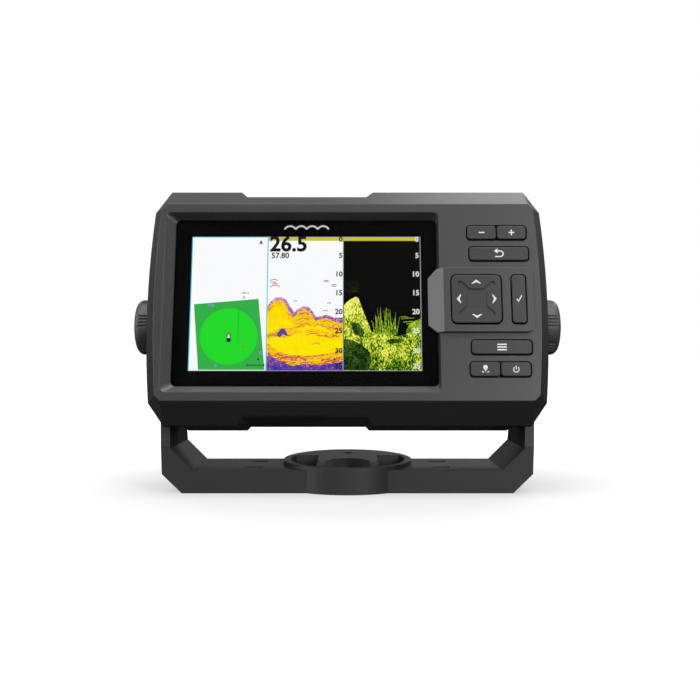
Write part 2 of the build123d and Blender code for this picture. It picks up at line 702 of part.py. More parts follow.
def on_board(name, place, width, height, thickness):
    with BuildPart() as block:
        with BuildSketch(facing(BOARD_BACK)):
            with Locations(place):
                RectangleRounded(width, height, BLOCK_CORNER)
        extrude(amount=-thickness)
    write(block.part, name, TILTED)


on_board("shield_can", SHIELD_PLACE, SHIELD_W, SHIELD_H, SHIELD_T)
on_board("sonar_transformer", TRANSFORMER_PLACE, TRANSFORMER_SIZE, TRANSFORMER_SIZE, TRANSFORMER_T)
on_board("gps_antenna", ANTENNA_PLACE, ANTENNA_SIZE, ANTENNA_SIZE, ANTENNA_T)

with BuildPart() as board_capacitors:
    with BuildSketch(facing(BOARD_BACK)):
        with Locations(CAPACITOR_PLACES):
            Circle(CAPACITOR_R)
    extrude(amount=-CAPACITOR_T)
write(board_capacitors.part, "board_capacitors", TILTED)

with BuildPart() as beeper:
    with BuildSketch(facing(BOARD_BACK)):
        with Locations(BEEPER_PLACE):
            Circle(BEEPER_R)
    extrude(amount=-BEEPER_T)
    with BuildSketch(facing(BOARD_BACK + BEEPER_T)):
        with Locations(BEEPER_PLACE):
            Circle(BEEPER_HOLE_R)
    extrude(amount=BEEPER_HOLE_D, mode=Mode.SUBTRACT)
write(beeper.part, "beeper", TILTED)


# Sockets in the bay at the back
def socket(name, x, pins):
    with BuildPart() as shell:
        with BuildSketch(facing(BAY_FLOOR + ORING_T)):
            with Locations((x, -SOCKET_DROP)):
                Circle(SHELL_COLLAR_R)
        extrude(amount=-SHELL_COLLAR_T)
        with BuildSketch(facing(BAY_FLOOR + ORING_T)):
            with Locations((x, -SOCKET_DROP)):
                Circle(SHELL_R)
        extrude(amount=-SHELL_L)
        with BuildSketch(facing(BAY_FLOOR + ORING_T)):
            with Locations((x, -SOCKET_DROP)):
                Circle(SHANK_R)
        extrude(amount=SHANK_L + ORING_T)
        with BuildSketch(facing(BAY_FLOOR + ORING_T)):
            with Locations((x, -SOCKET_DROP)):
                Circle(SHELL_BORE)
        extrude(amount=-SHELL_L, mode=Mode.SUBTRACT)
        with BuildSketch(facing(BAY_FLOOR + ORING_T + SHELL_L)):
            with Locations((x, SHELL_BORE - SOCKET_DROP)):
                Rectangle(SOCKET_KEYWAY_W, SOCKET_KEYWAY_H)
        extrude(amount=SHELL_L / 2, mode=Mode.SUBTRACT)
        with BuildSketch(facing(BAY_FLOOR + ORING_T)):
            with Locations((x, -SOCKET_DROP)):
                with PolarLocations(PIN_CIRCLE, pins):
                    Circle(PIN_R)
        extrude(amount=SHANK_L / 2, mode=Mode.SUBTRACT)
    write(shell.part, name + "_socket", TILTED)
    with BuildPart() as contacts:
        with BuildSketch(facing(BAY_FLOOR + ORING_T)):
            with Locations((x, -SOCKET_DROP)):
                with PolarLocations(PIN_CIRCLE, pins):
                    Circle(PIN_R)
        extrude(amount=SHANK_L / 2)
        with BuildSketch(facing(BAY_FLOOR + ORING_T)):
            with Locations((x, -SOCKET_DROP)):
                with PolarLocations(PIN_CIRCLE, pins):
                    Circle(PIN_R)
        extrude(amount=-PIN_L)
    write(contacts.part, name + "_pins", TILTED)


socket("power", -SOCKET_X, POWER_PINS)
socket("transducer", SOCKET_X, TRANSDUCER_PINS)

with BuildPart() as socket_seals:
    with BuildSketch(facing(BAY_FLOOR)):
        with Locations((-SOCKET_X, -SOCKET_DROP), (SOCKET_X, -SOCKET_DROP)):
            Circle(SHELL_COLLAR_R - ORING_GROOVE)
            Circle(SHANK_R + SHANK_PLAY, mode=Mode.SUBTRACT)
    extrude(amount=-ORING_T)
write(socket_seals.part, "socket_seals", TILTED)

with BuildPart() as socket_nuts:
    with BuildSketch(facing(BAY_FLOOR - WALL)):
        with Locations((-SOCKET_X, -SOCKET_DROP), (SOCKET_X, -SOCKET_DROP)):
            RegularPolygon(NUT_ACROSS / 2, 6, major_radius=False)
            Circle(SHANK_R, mode=Mode.SUBTRACT)
    extrude(amount=NUT_T)
write(socket_nuts.part, "socket_nuts", TILTED)

with BuildPart() as vent_membrane:
    with BuildSketch(facing(TUB_DEPTH)):
        with Locations((VENT_X, 0)):
            Circle(VENT_R)
    extrude(amount=VENT_T)
write(vent_membrane.part, "vent_membrane", TILTED)

# Keypad board, its snap domes and the rubber mat in front of them
DOME_PLACES = [
    (OUTER_X - ROW_W / 4, OUTER_Z),
    (OUTER_X + ROW_W / 4, OUTER_Z),
    (INNER_X, INNER_Z),
    (INNER_X, -INNER_Z),
    (OUTER_X - ROW_W / 4, -OUTER_Z),
    (OUTER_X + ROW_W / 4, -OUTER_Z),
    (SELECT_X, 0),
    (PAD_X - PAD_DOME_REACH, 0),
    (PAD_X + PAD_DOME_REACH, 0),
    (PAD_X, PAD_DOME_REACH),
    (PAD_X, -PAD_DOME_REACH),
]
KEY_BAY_MID = (KEY_BAY_X0 + KEY_BAY_X1) / 2

with BuildPart() as keypad_board:
    with BuildSketch(facing(KEY_BOARD_FRONT)):
        with Locations((KEY_BAY_MID, 0)):
            Rectangle(KEY_BAY_X1 - KEY_BAY_X0 - 2 * MAT_PLAY, GLASS_H - 2 * MAT_PLAY)
        with Locations(KEY_POSTS):
            Circle(SMALL_SCREW_R, mode=Mode.SUBTRACT)
    extrude(amount=-KEY_BOARD_T)
write(keypad_board.part, "keypad_board", TILTED)

with BuildPart() as key_domes:
    with BuildSketch(facing(KEY_BOARD_FRONT)):
        with Locations(DOME_PLACES):
            Circle(DOME_R)
    extrude(amount=DOME_H, taper=45)
write(key_domes.part, "key_domes", TILTED)

with BuildPart() as keypad_mat:
    with BuildSketch(facing(MAT_FRONT)):
        with Locations((KEY_BAY_MID, 0)):
            Rectangle(KEY_BAY_X1 - KEY_BAY_X0 - 2 * MAT_PLAY, GLASS_H - 2 * MAT_PLAY)
        with Locations(KEY_POSTS):
            Circle(KEY_POST_R + MAT_PLAY, mode=Mode.SUBTRACT)
    extrude(amount=-MAT_T)
    with BuildSketch(facing(MAT_FRONT)):
        with Locations((PAD_X, 0)):
            Rectangle(PAD_SIZE + 2 * (KEY_LAP + MAT_PLAY), PAD_SIZE + 2 * (KEY_LAP + MAT_PLAY))
    extrude(amount=-PAD_ROOM, mode=Mode.SUBTRACT)
    with Locations(facing(BEAD_DEPTH) * Location((PAD_X, 0, 0))):
        Sphere(BEAD_R + BEAD_PLAY, mode=Mode.SUBTRACT)
write(keypad_mat.part, "keypad_mat", TILTED)


# Keys: a cap in its opening and a flange behind the skin
def key(name, x, z, width, height, proud):
    with BuildPart() as cap:
        with BuildSketch(facing(-proud)):
            with Locations((x, z)):
                RectangleRounded(width, height, ROW_CORNER - KEY_GAP)
        extrude(amount=-(proud + KEY_SKIN + KEY_REST))
        fillet(cap.faces().sort_by(Axis.Y)[0].edges(), KEY_ROUND)
        with BuildSketch(facing(KEY_SKIN + KEY_REST)):
            with Locations((x, z)):
                Rectangle(width, height + 2 * (KEY_GAP + KEY_LAP))
        extrude(amount=-KEY_FLANGE_T)
    write(cap.part, name, TILTED)


PAIR_SHIFT = (HALF_KEY + PAIR_GAP) / 2
KEY_H = ROW_H - 2 * KEY_GAP
key("zoom_out_key", OUTER_X - PAIR_SHIFT, OUTER_Z, HALF_KEY, KEY_H, KEY_PROUD)
key("zoom_in_key", OUTER_X + PAIR_SHIFT, OUTER_Z, HALF_KEY, KEY_H, KEY_PROUD)
key("back_key", INNER_X, INNER_Z, ROW_W - 2 * KEY_GAP, KEY_H, KEY_PROUD)
key("menu_key", INNER_X, -INNER_Z, ROW_W - 2 * KEY_GAP, KEY_H, KEY_PROUD)
key("waypoint_key", OUTER_X - PAIR_SHIFT, -OUTER_Z, HALF_KEY, KEY_H, KEY_PROUD)
key("power_key", OUTER_X + PAIR_SHIFT, -OUTER_Z, HALF_KEY, KEY_H, KEY_PROUD)
key("select_key", SELECT_X, 0, SELECT_W - 2 * KEY_GAP, PAD_SIZE - 2 * KEY_GAP, ISLAND_PROUD + KEY_PROUD)

# Rocking pad on its bead
with BuildPart() as pad_key:
    with BuildSketch(facing(-ISLAND_PROUD - KEY_PROUD)):
        with Locations((PAD_X, 0)):
            RectangleRounded(PAD_SIZE - 2 * KEY_GAP, PAD_SIZE - 2 * KEY_GAP, PAD_CORNER - KEY_GAP)
    extrude(amount=-(ISLAND_PROUD + KEY_PROUD + PAD_FLANGE_FRONT))
    fillet(pad_key.faces().sort_by(Axis.Y)[0].edges(), KEY_ROUND)
    with BuildSketch(facing(PAD_FLANGE_FRONT)):
        with Locations((PAD_X, 0)):
            Rectangle(PAD_SIZE + 2 * KEY_LAP, PAD_SIZE + 2 * KEY_LAP)
    extrude(amount=-PAD_FLANGE_T)
    with BuildSketch(facing(PAD_FLANGE_FRONT)):
        with Locations((PAD_X, 0)):
            Circle(HUB_R)
    extrude(amount=PAD_FLANGE_FRONT - BEAD_DEPTH)
    with Locations(facing(BEAD_DEPTH) * Location((PAD_X, 0, 0))):
        Sphere(BEAD_R + BEAD_PLAY, mode=Mode.SUBTRACT)
    with BuildSketch(facing(-ISLAND_PROUD - KEY_PROUD)):
        with Locations((PAD_X, 0)):
            RectangleRounded(PAD_CENTRE, PAD_CENTRE, PAD_CENTRE_CORNER)
        for turn in (45, 135):
            with Locations(Location((PAD_X, 0, 0), turn)):
                SlotOverall(PAD_GROOVE_L, PAD_GROOVE_W)
    extrude(amount=-PAD_GROOVE_D, mode=Mode.SUBTRACT)
write(pad_key.part, "pad_key", TILTED)

with BuildPart() as pad_bead:
    with Locations(facing(BEAD_DEPTH) * Location((PAD_X, 0, 0))):
        Sphere(BEAD_R)
write(pad_bead.part, "pad_bead", TILTED)


# Clamp: at each side a brass insert, a rubber washer, a steel washer and a knob on its stud
def clamp(side, name):
    with BuildPart() as insert:
        with BuildSketch(across(BOSS_FACE, side)):
            Circle(INSERT_R)
        extrude(amount=-INSERT_L)
        with BuildSketch(across(BOSS_FACE, side)):
            Circle(STUD_R + STUD_PLAY)
        extrude(amount=-(INSERT_L - STUD_END_GAP), mode=Mode.SUBTRACT)
    write(insert.part, "pivot_insert_" + name, TILTED)
    with BuildPart() as rubber:
        with BuildSketch(across(BOSS_FACE, side)):
            Circle(RUBBER_R)
            Circle(STUD_R + ARM_HOLE_PLAY, mode=Mode.SUBTRACT)
        extrude(amount=RUBBER_T)
    write(rubber.part, "friction_washer_" + name, TILTED)
    with BuildPart() as washer:
        with BuildSketch(across(WASHER_FACE, side)):
            Circle(WASHER_R)
            Circle(STUD_R + STUD_PLAY, mode=Mode.SUBTRACT)
        extrude(amount=WASHER_T)
    write(washer.part, "knob_washer_" + name, TILTED)
    with BuildPart() as stud:
        with BuildSketch(across(BOSS_FACE - INSERT_L + 2 * STUD_END_GAP, side)):
            Circle(STUD_R)
        extrude(amount=KNOB_FACE + KNOB_L / 2 - BOSS_FACE + INSERT_L - 2 * STUD_END_GAP)
    write(stud.part, "knob_stud_" + name, TILTED)
    with BuildPart() as knob:
        with BuildSketch(Plane(origin=(side * KNOB_FACE, 0, 0), x_dir=(side, 0, 0), z_dir=(0, -side, 0))):
            with BuildLine():
                back = Line((0, 0), (0, KNOB_R - KNOB_EASE))
                ease = Line(back @ 1, (KNOB_EASE, KNOB_R))
                wall = Line(ease @ 1, (KNOB_L - KNOB_CROWN - KNOB_SHOULDER, KNOB_R))
                shoulder = ThreePointArc(
                    wall @ 1,
                    (KNOB_L - KNOB_CROWN - SHOULDER_MID, KNOB_R - SHOULDER_MID),
                    (KNOB_L - KNOB_CROWN, KNOB_R - KNOB_SHOULDER),
                )
                crown = Line(shoulder @ 1, (KNOB_L, KNOB_CAP_R))
                cap = Line(crown @ 1, (KNOB_L, 0))
                Line(cap @ 1, back @ 0)
            make_face()
        revolve(axis=Axis.X)
        with BuildSketch(across(KNOB_FACE, side)):
            Circle(STUD_R)
        extrude(amount=KNOB_L / 2, mode=Mode.SUBTRACT)
        with BuildSketch(across(KNOB_FACE, side)):
            for group in range(RIB_GROUPS):
                first = group * 360 / RIB_GROUPS - (RIBS - 1) * RIB_ANGLE / 2
                with PolarLocations(KNOB_R, RIBS, start_angle=first, angular_range=RIBS * RIB_ANGLE):
                    Circle(RIB_R)
        extrude(amount=KNOB_L, mode=Mode.SUBTRACT)
    write(knob.part, "knob_" + name, TILTED)


clamp(-1, "left")
clamp(1, "right")

# Bracket: two leaning arms on a shallow base with a round foot
LEAN = sin(radians(ARM_LEAN)) / cos(radians(ARM_LEAN))
ARM_OUT_FOOT = (PAD_INNER + PAD_OUTER) / 2 + ARM_T / 2 - LEAN * AXIS_Z
ARM_TOP = AXIS_Z + ARM_HEAD_R
SLOT_ROWS = (-SLOT_SPACING / 2, SLOT_SPACING / 2)
LOBE_X = BOWL_R + RIDGE_T
POCKET_X0 = FOOT_R + SKIRT_T
POCKET_X1 = ARM_OUT_FOOT - OUTER_BEVEL - SKIRT_T
POCKET_X = (POCKET_X0 + POCKET_X1) / 2
POCKET_W = POCKET_X1 - POCKET_X0

with BuildPart() as bracket:
    with BuildSketch(Plane.XZ):
        with BuildLine():
            outer_top = (ARM_OUT_FOOT + LEAN * ARM_TOP, ARM_TOP)
            outer_low = (ARM_OUT_FOOT + LEAN * OUTER_BEVEL, OUTER_BEVEL)
            inner_top = (ARM_OUT_FOOT + LEAN * ARM_TOP - ARM_T, ARM_TOP)
            inner_low = (
                ARM_OUT_FOOT + LEAN * (BASE_T + CORNER_RISE) - ARM_T, BASE_T + CORNER_RISE
            )
            Polyline(
                (0, 0),
                (ARM_OUT_FOOT - OUTER_BEVEL, 0),
                outer_low,
                outer_top,
                inner_top,
                inner_low,
                (inner_low[0] - CORNER_RISE, BASE_T),
                (0, BASE_T),
                close=True,
            )
        make_face()
        mirror(about=Plane.YZ)
    extrude(amount=BRACKET_DEPTH / 2, both=True)
    with BuildSketch(Plane.YZ) as silhouette:
        with BuildLine():
            Polyline(
                (-BRACKET_DEPTH / 2, 0),
                (BRACKET_DEPTH / 2, 0),
                (BRACKET_DEPTH / 2, ARM_FULL_Z),
                (-BRACKET_DEPTH / 2, ARM_FULL_Z),
                close=True,
            )
        make_face()
        with Locations((AXIS_Y, AXIS_Z)):
            Circle(ARM_HEAD_R)
        make_hull()
    extrude(amount=PAD_OUTER + ARM_PAD_R, both=True, mode=Mode.INTERSECT)
    with BuildSketch(Plane.XY):
        Circle(FOOT_R)
    extrude(amount=2 * FOOT_BACK_T)
    with BuildSketch(Plane.YZ):
        with BuildLine():
            Polyline(
                (-FOOT_R, FOOT_FRONT_T),
                (FOOT_R, FOOT_BACK_T),
                (FOOT_R, 3 * FOOT_BACK_T),
                (-FOOT_R, 3 * FOOT_BACK_T),
                close=True,
            )
        make_face()
    extrude(amount=FOOT_R, both=True, mode=Mode.SUBTRACT)
    for side in (-1, 1):
        arm_pad = Plane(origin=(side * PAD_INNER, AXIS_Y, AXIS_Z), z_dir=(side, 0, 0))
        with BuildSketch(arm_pad):
            Circle(ARM_PAD_R)
        extrude(amount=ARM_PAD_T)
    with BuildSketch(Plane.XY):
        for x in (-1, 1):
            with Locations((x * POCKET_X, 0)):
                Rectangle(POCKET_W, BRACKET_DEPTH - 2 * SKIRT_T)
            with Locations(*[(x * SLOT_X, y) for y in SLOT_ROWS]):
                SlotOverall(SLOT_L + 2 * SLOT_WALL, 2 * (HOLE_R + SLOT_WALL), mode=Mode.SUBTRACT)
    extrude(amount=BASE_T - DECK_T, mode=Mode.SUBTRACT)
    with BuildSketch(Plane.XY):
        with Locations(*[(x * SLOT_X, y) for x in (-1, 1) for y in SLOT_ROWS]):
            SlotOverall(SLOT_L, 2 * HOLE_R)
    extrude(amount=BASE_T, mode=Mode.SUBTRACT)
    with BuildSketch(Plane.XY.offset(FOOT_BACK_T)):
        with Locations((0, BOWL_BACK - BOWL_R)):
            Circle(BOWL_R)
        with Locations((0, BOWL_BACK - BOWL_R)):
            Rectangle(2 * BOWL_R, FOOT_R, align=(Align.CENTER, Align.MAX))
        Circle(FOOT_R - FOOT_WALL, mode=Mode.INTERSECT)
    extrude(amount=BOWL_FLOOR - FOOT_BACK_T, taper=BOWL_TAPER, mode=Mode.SUBTRACT)
    for side in (-1, 1):
        with BuildSketch(Plane.XY.offset(FOOT_BACK_T)):
            with Locations((side * (LOBE_X + FOOT_R / 2), LOBE_BACK)):
                Rectangle(FOOT_R, LOBE_BACK + FOOT_R - FOOT_WALL, align=(Align.CENTER, Align.MAX))
            Circle(FOOT_R - FOOT_WALL, mode=Mode.INTERSECT)
        extrude(amount=LOBE_FLOOR - FOOT_BACK_T, taper=LOBE_TAPER, mode=Mode.SUBTRACT)
    with BuildSketch(Plane.XY):
        with PolarLocations(FOOT_HOLE_CIRCLE, 3, start_angle=90):
            Circle(HOLE_R)
    extrude(amount=FOOT_BACK_T, mode=Mode.SUBTRACT)
    with BuildSketch(Plane.YZ):
        with Locations((AXIS_Y, AXIS_Z)):
            Circle(STUD_R + ARM_HOLE_PLAY)
    extrude(amount=PAD_OUTER + ARM_PAD_R, both=True, mode=Mode.SUBTRACT)
write(bracket.part, "bail_bracket")
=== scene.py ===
"""A bail-mounted chartplotter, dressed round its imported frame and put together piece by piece."""

import json
import math

import bmesh
import bpy
from mathutils import Euler, Matrix, Vector


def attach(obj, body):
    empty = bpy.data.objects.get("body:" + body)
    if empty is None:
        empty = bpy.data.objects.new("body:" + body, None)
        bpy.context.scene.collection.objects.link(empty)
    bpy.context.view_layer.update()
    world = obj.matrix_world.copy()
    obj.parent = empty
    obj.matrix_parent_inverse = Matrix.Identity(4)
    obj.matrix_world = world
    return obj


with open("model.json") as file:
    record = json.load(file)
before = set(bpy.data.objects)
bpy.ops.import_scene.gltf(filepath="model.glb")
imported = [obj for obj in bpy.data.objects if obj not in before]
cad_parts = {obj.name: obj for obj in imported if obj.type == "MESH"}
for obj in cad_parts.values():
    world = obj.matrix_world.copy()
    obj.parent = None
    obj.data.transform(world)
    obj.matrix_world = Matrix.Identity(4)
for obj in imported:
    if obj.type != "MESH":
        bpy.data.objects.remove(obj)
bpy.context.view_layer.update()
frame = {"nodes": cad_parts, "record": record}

# Studio table: a white paper sheet under the instrument, with white all round it.
# The sheet glows less towards its middle, a painted soft shadow round the base.
# Only the camera sees them, so that the dark mouldings keep their dark undersides.
MM = 0.001
CAMERA_PLACE = Vector((1.2, -481.4, 67.3)) * MM
camera = bpy.data.objects.new("camera", bpy.data.cameras.new("camera"))
camera.data.lens = 50.0
camera.data.sensor_width = 36.0
camera.data.clip_start = 0.01
camera.location = CAMERA_PLACE
camera.rotation_euler = Euler((math.radians(90.0), 0.0, 0.0))
bpy.context.collection.objects.link(camera)
scene = bpy.context.scene
scene.camera = camera
scene.view_settings.view_transform = "Standard"


def linear(colour):
    """An sRGB hex colour as linear red, green, blue and alpha."""
    parts = [int(colour[i : i + 2], 16) / 255 for i in (1, 3, 5)]
    return [c / 12.92 if c <= 0.04045 else ((c + 0.055) / 1.055) ** 2.4 for c in parts] + [1.0]


def add_node(tree, kind, inputs=None, **settings):
    """Adds a node, sets it, and fills its inputs with values or with links to other nodes' outputs."""
    node = tree.nodes.new("ShaderNode" + kind)
    for name, value in settings.items():
        setattr(node, name, value)
    for name, value in (inputs or {}).items():
        if isinstance(value, bpy.types.NodeSocket):
            tree.links.new(value, node.inputs[name])
        else:
            node.inputs[name].default_value = value
    return node


def new_material(name):
    """An empty material and its node tree."""
    material = bpy.data.materials.new(name)
    material.use_nodes = True
    material.node_tree.nodes.clear()
    return material, material.node_tree


def piece_from(bm, name, material):
    """Makes an object of a bmesh, with its place in its mesh."""
    bmesh.ops.recalc_face_normals(bm, faces=bm.faces)
    mesh = bpy.data.meshes.new(name)
    bm.to_mesh(mesh)
    bm.free()
    mesh.materials.append(material)
    piece = bpy.data.objects.new(name, mesh)
    bpy.context.collection.objects.link(piece)
    return piece


paper, tree = new_material("white_paper_painted_shadow")
matt = add_node(tree, "BsdfDiffuse", {"Color": linear("#8a8a8a")})
place = add_node(tree, "TexCoord")
reach = add_node(tree, "VectorMath", {"Vector": place.outputs["Object"]}, operation="LENGTH")
# Painted shadow: the sheet's glow drops towards its middle, so the floor darkens round the base.
painted_shadow_spread = add_node(
    tree, "MapRange",
    {
        "Value": reach.outputs["Value"], "From Min": 0.08, "From Max": 0.3, "To Min": 0.52,
        "To Max": 1.05,
    },
)
glow = add_node(tree, "Emission", {"Color": linear("#ffffff"), "Strength": painted_shadow_spread.outputs["Result"]})
shade = add_node(tree, "AddShader", {0: matt.outputs[0], 1: glow.outputs[0]})
add_node(tree, "OutputMaterial", {"Surface": shade.outputs[0]})
bm = bmesh.new()
bmesh.ops.create_circle(bm, cap_ends=True, segments=64, radius=4.0)
floor = piece_from(bm, "floor", paper)
floor.visible_diffuse = False
floor.visible_glossy = False

surround, tree = new_material("white_surround")
shade = add_node(tree, "Emission", {"Color": linear("#ffffff"), "Strength": 1.0})
add_node(tree, "OutputMaterial", {"Surface": shade.outputs[0]})
bm = bmesh.new()
bmesh.ops.create_icosphere(bm, subdivisions=4, radius=4.0)
dome = piece_from(bm, "surround", surround)
for ray in ("diffuse", "glossy", "transmission", "shadow"):
    setattr(dome, "visible_" + ray, False)

# The studio round it: dim below, light above, with softboxes overhead, at the left and in front.
world = bpy.data.worlds.new("studio")
scene.world = world
world.use_nodes = True
tree = world.node_tree
tree.nodes.clear()
direction = add_node(tree, "TexCoord")
height = add_node(tree, "SeparateXYZ", {"Vector": direction.outputs["Generated"]})
fade = add_node(tree, "ValToRGB", {"Fac": height.outputs["Z"]})
fade.color_ramp.elements[0].position = 0.0
fade.color_ramp.elements[0].color = (0.02, 0.02, 0.02, 1.0)
fade.color_ramp.elements[1].position = 0.6
fade.color_ramp.elements[1].color = (0.42, 0.42, 0.42, 1.0)
sky = add_node(tree, "Background", {"Color": fade.outputs["Color"], "Strength": 1.0})
add_node(tree, "OutputWorld", {"Surface": sky.outputs[0]})


def softbox(name, place, aim, width, height, power):
    """A rectangular studio light, turned to face a point."""
    lamp = bpy.data.lights.new(name, "AREA")
    lamp.shape = "RECTANGLE"
    lamp.size = width
    lamp.size_y = height
    lamp.energy = power
    light = bpy.data.objects.new(name, lamp)
    light.location = place
    light.rotation_mode = "QUATERNION"
    light.rotation_quaternion = (Vector(aim) - Vector(place)).to_track_quat("-Z", "Y")
    bpy.context.collection.objects.link(light)


softbox("overhead_box", (0.0, -0.25, 0.9), (0.0, 0.0, 0.07), 0.9, 0.6, 9.0)
softbox("left_box", (-1.0, -0.35, 0.35), (0.0, 0.0, 0.07), 0.4, 0.8, 7.0)
softbox("right_box", (0.62, -1.0, 0.45), (0.05, 0.0, 0.07), 0.35, 0.6, 6.5)
softbox("low_front_box", (0.1, -1.2, 0.15), (0.0, 0.0, 0.0), 1.6, 0.25, 3.0)
softbox("rear_box", (0.5, 0.8, 1.0), (0.0, 0.0, 0.07), 0.8, 0.6, 4.0)


# Bracket: two arms and a shallow base with a round foot, moulded in one shot of glass-filled nylon.
# Its faces have a fine spark-eroded grain, so that it stays matt under deck light, and its edges are eased.
def moulded(name, colour, shine, roughness, grain, depth, ease=0.3, ior=1.5):
    """A moulded plastic or rubber in two close tones, with its grain in millimetres."""
    material, tree = new_material(name)
    place = add_node(tree, "TexCoord")
    edge = add_node(tree, "Bevel", {"Radius": ease * MM}, samples=4)
    speckle = add_node(
        tree, "TexNoise", {"Vector": place.outputs["Object"], "Scale": 1 / (grain * MM), "Detail": 2.0}
    )
    cloud = add_node(
        tree, "TexNoise", {"Vector": place.outputs["Object"], "Scale": 1 / (25 * MM), "Detail": 1.0}
    )
    tones = add_node(tree, "ValToRGB", {"Fac": cloud.outputs["Fac"]})
    tones.color_ramp.elements[0].color = linear(colour)
    tones.color_ramp.elements[1].color = linear(shine)
    rough = add_node(
        tree, "MapRange",
        {"Value": speckle.outputs["Fac"], "To Min": roughness - 0.06, "To Max": roughness + 0.06},
    )
    bump = add_node(
        tree, "Bump",
        {
            "Height": speckle.outputs["Fac"],
            "Strength": 0.6,
            "Distance": depth * MM,
            "Normal": edge.outputs["Normal"],
        },
    )
    shade = add_node(
        tree, "BsdfPrincipled",
        {
            "Base Color": tones.outputs["Color"],
            "Roughness": rough.outputs["Result"],
            "IOR": ior,
            "Normal": bump.outputs["Normal"],
        },
    )
    add_node(tree, "OutputMaterial", {"Surface": shade.outputs[0]})
    return material


def dress(material, *names):
    """Gives CAD nodes their finish."""
    for name in names:
        frame["nodes"][name].data.materials.clear()
        frame["nodes"][name].data.materials.append(material)


dress(moulded("glass_filled_nylon", "#212122", "#252526", 0.5, 0.5, 0.03), "bail_bracket")

# Rear housing: the tub, moulded in the same dull black polycarbonate blend and screwed on from behind,
# with the seal let into its flange and a vent that keeps the window from misting.
dress(moulded("polycarbonate_tub", "#242425", "#28282a", 0.5, 0.5, 0.03), "rear_housing")
dress(
    moulded("silicone_seal", "#161616", "#1a1a1a", 0.6, 0.4, 0.02, ior=1.43), "housing_seal",
    "socket_seals",
)
dress(moulded("ptfe_membrane", "#d8d8d4", "#e2e2de", 0.7, 0.3, 0.02, ior=1.35), "vent_membrane")

# Front housing: a satin polycarbonate frame whose slopes run down to the window, with the raised island
# for the pad. Polished steel tooling gives it a softer grain than the tub, and a silky fall of light.
dress(
    moulded("satin_polycarbonate", "#2b2b2c", "#2f2f30", 0.38, 0.35, 0.008, ease=0.5),
    "front_housing",
)

# Keys: silicone rubber caps over snap domes, moulded dark and lightly matt, each with a printed sign.
# The signs are one coat of white ink, thick enough to catch an edge, with a faint glow painted into the ink
# that brightens them.
keys = [name for name in frame["nodes"] if name.endswith("_key")]
dress(moulded("silicone_keys", "#242425", "#29292a", 0.42, 0.35, 0.008, ease=0.4, ior=1.43), *keys)
dress(moulded("silicone_mat", "#1c1c1c", "#202020", 0.6, 0.4, 0.02, ior=1.43), "keypad_mat")

ink, tree = new_material("white_key_ink_painted_glow")
place = add_node(tree, "TexCoord")
mottle = add_node(tree, "TexNoise", {"Vector": place.outputs["Object"], "Scale": 1 / (0.4 * MM)})
tones = add_node(tree, "ValToRGB", {"Fac": mottle.outputs["Fac"]})
tones.color_ramp.elements[0].color = linear("#b2b2b2")
tones.color_ramp.elements[1].color = linear("#cccccc")
# Painted light: the key ink glows faintly even though it is not a lamp.
shade = add_node(
    tree, "BsdfPrincipled",
    {
        "Base Color": tones.outputs["Color"],
        "Roughness": 0.45,
        "Emission Color": linear("#ffffff"),
        "Emission Strength": 0.08,
    },
)
add_node(tree, "OutputMaterial", {"Surface": shade.outputs[0]})

TILT = math.radians(12.0)
AXIS_DEPTH = 31.4
AXIS_DROP = 5.5
PIVOT = next(j for j in frame["record"]["behaviour"]["joints"] if j["name"] == "display_tilt")["pos_m"]
HOUSING = (
    Matrix.Translation(PIVOT)
    @ Matrix.Rotation(-TILT, 4, "X")
    @ Matrix.Translation(Vector((0.0, -AXIS_DEPTH, AXIS_DROP)) * MM)
)
INK_T = 0.03


def plate(bm, corners, depth, thickness=INK_T):
    """Adds a thin flat plate: its corners in millimetres across the housing, its front at this depth."""
    corners = [Vector((x, depth + thickness, z)) * MM for x, z in corners]
    face = bm.faces.new([bm.verts.new(HOUSING @ corner) for corner in corners])
    front = bmesh.ops.extrude_face_region(bm, geom=[face])["geom"]
    forward = HOUSING.to_3x3() @ Vector((0.0, -thickness * MM, 0.0))
    bmesh.ops.translate(bm, vec=forward, verts=[v for v in front if isinstance(v, bmesh.types.BMVert)])


def bar(bm, start, end, width, depth, thickness=INK_T):
    """Adds a straight stroke between two points."""
    start = Vector(start)
    end = Vector(end)
    along = (end - start).normalized() * width / 2
    side = Vector((-along.y, along.x))
    plate(bm, [start + side, start - side, end - side, end + side], depth, thickness)


def arc(bm, centre, radius, width, first, last, depth, steps=24, thickness=INK_T):
    """Adds a curved stroke round a centre, between two angles in degrees."""
    middle = Vector(centre)
    turns = [math.radians(first + (last - first) * i / steps) for i in range(steps + 1)]
    spokes = [Vector((math.cos(t), math.sin(t))) for t in turns]
    outer = [middle + spoke * (radius + width / 2) for spoke in spokes]
    inner = [middle + spoke * (radius - width / 2) for spoke in reversed(spokes)]
    plate(bm, outer + inner, depth, thickness)


def disc(bm, centre, radius, depth, steps=32, thickness=INK_T):
    """Adds a round spot."""
    turns = [2 * math.pi * i / steps for i in range(steps)]
    rim = [(centre[0] + radius * math.cos(t), centre[1] + radius * math.sin(t)) for t in turns]
    plate(bm, rim, depth, thickness)


def sign_from(bm, key):
    """Makes a key's sign, which moves with the key."""
    bmesh.ops.remove_doubles(bm, verts=bm.verts, dist=1e-7)
    sign = piece_from(bm, key.replace("_key", "") + "_sign", ink)
    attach(sign, key)


KEY_TOP = -0.8 - INK_T
OUTER_ROW = 32.6
INNER_ROW = 22.3
PAIR_MID = 69.8
PAIR_SHIFT = 6.98
ROW_MID = 70.65
STROKE = 0.55

bm = bmesh.new()
bar(
    bm, (PAIR_MID - PAIR_SHIFT - 1.3, OUTER_ROW), (PAIR_MID - PAIR_SHIFT + 1.3, OUTER_ROW), STROKE,
    KEY_TOP,
)
sign_from(bm, "zoom_out_key")

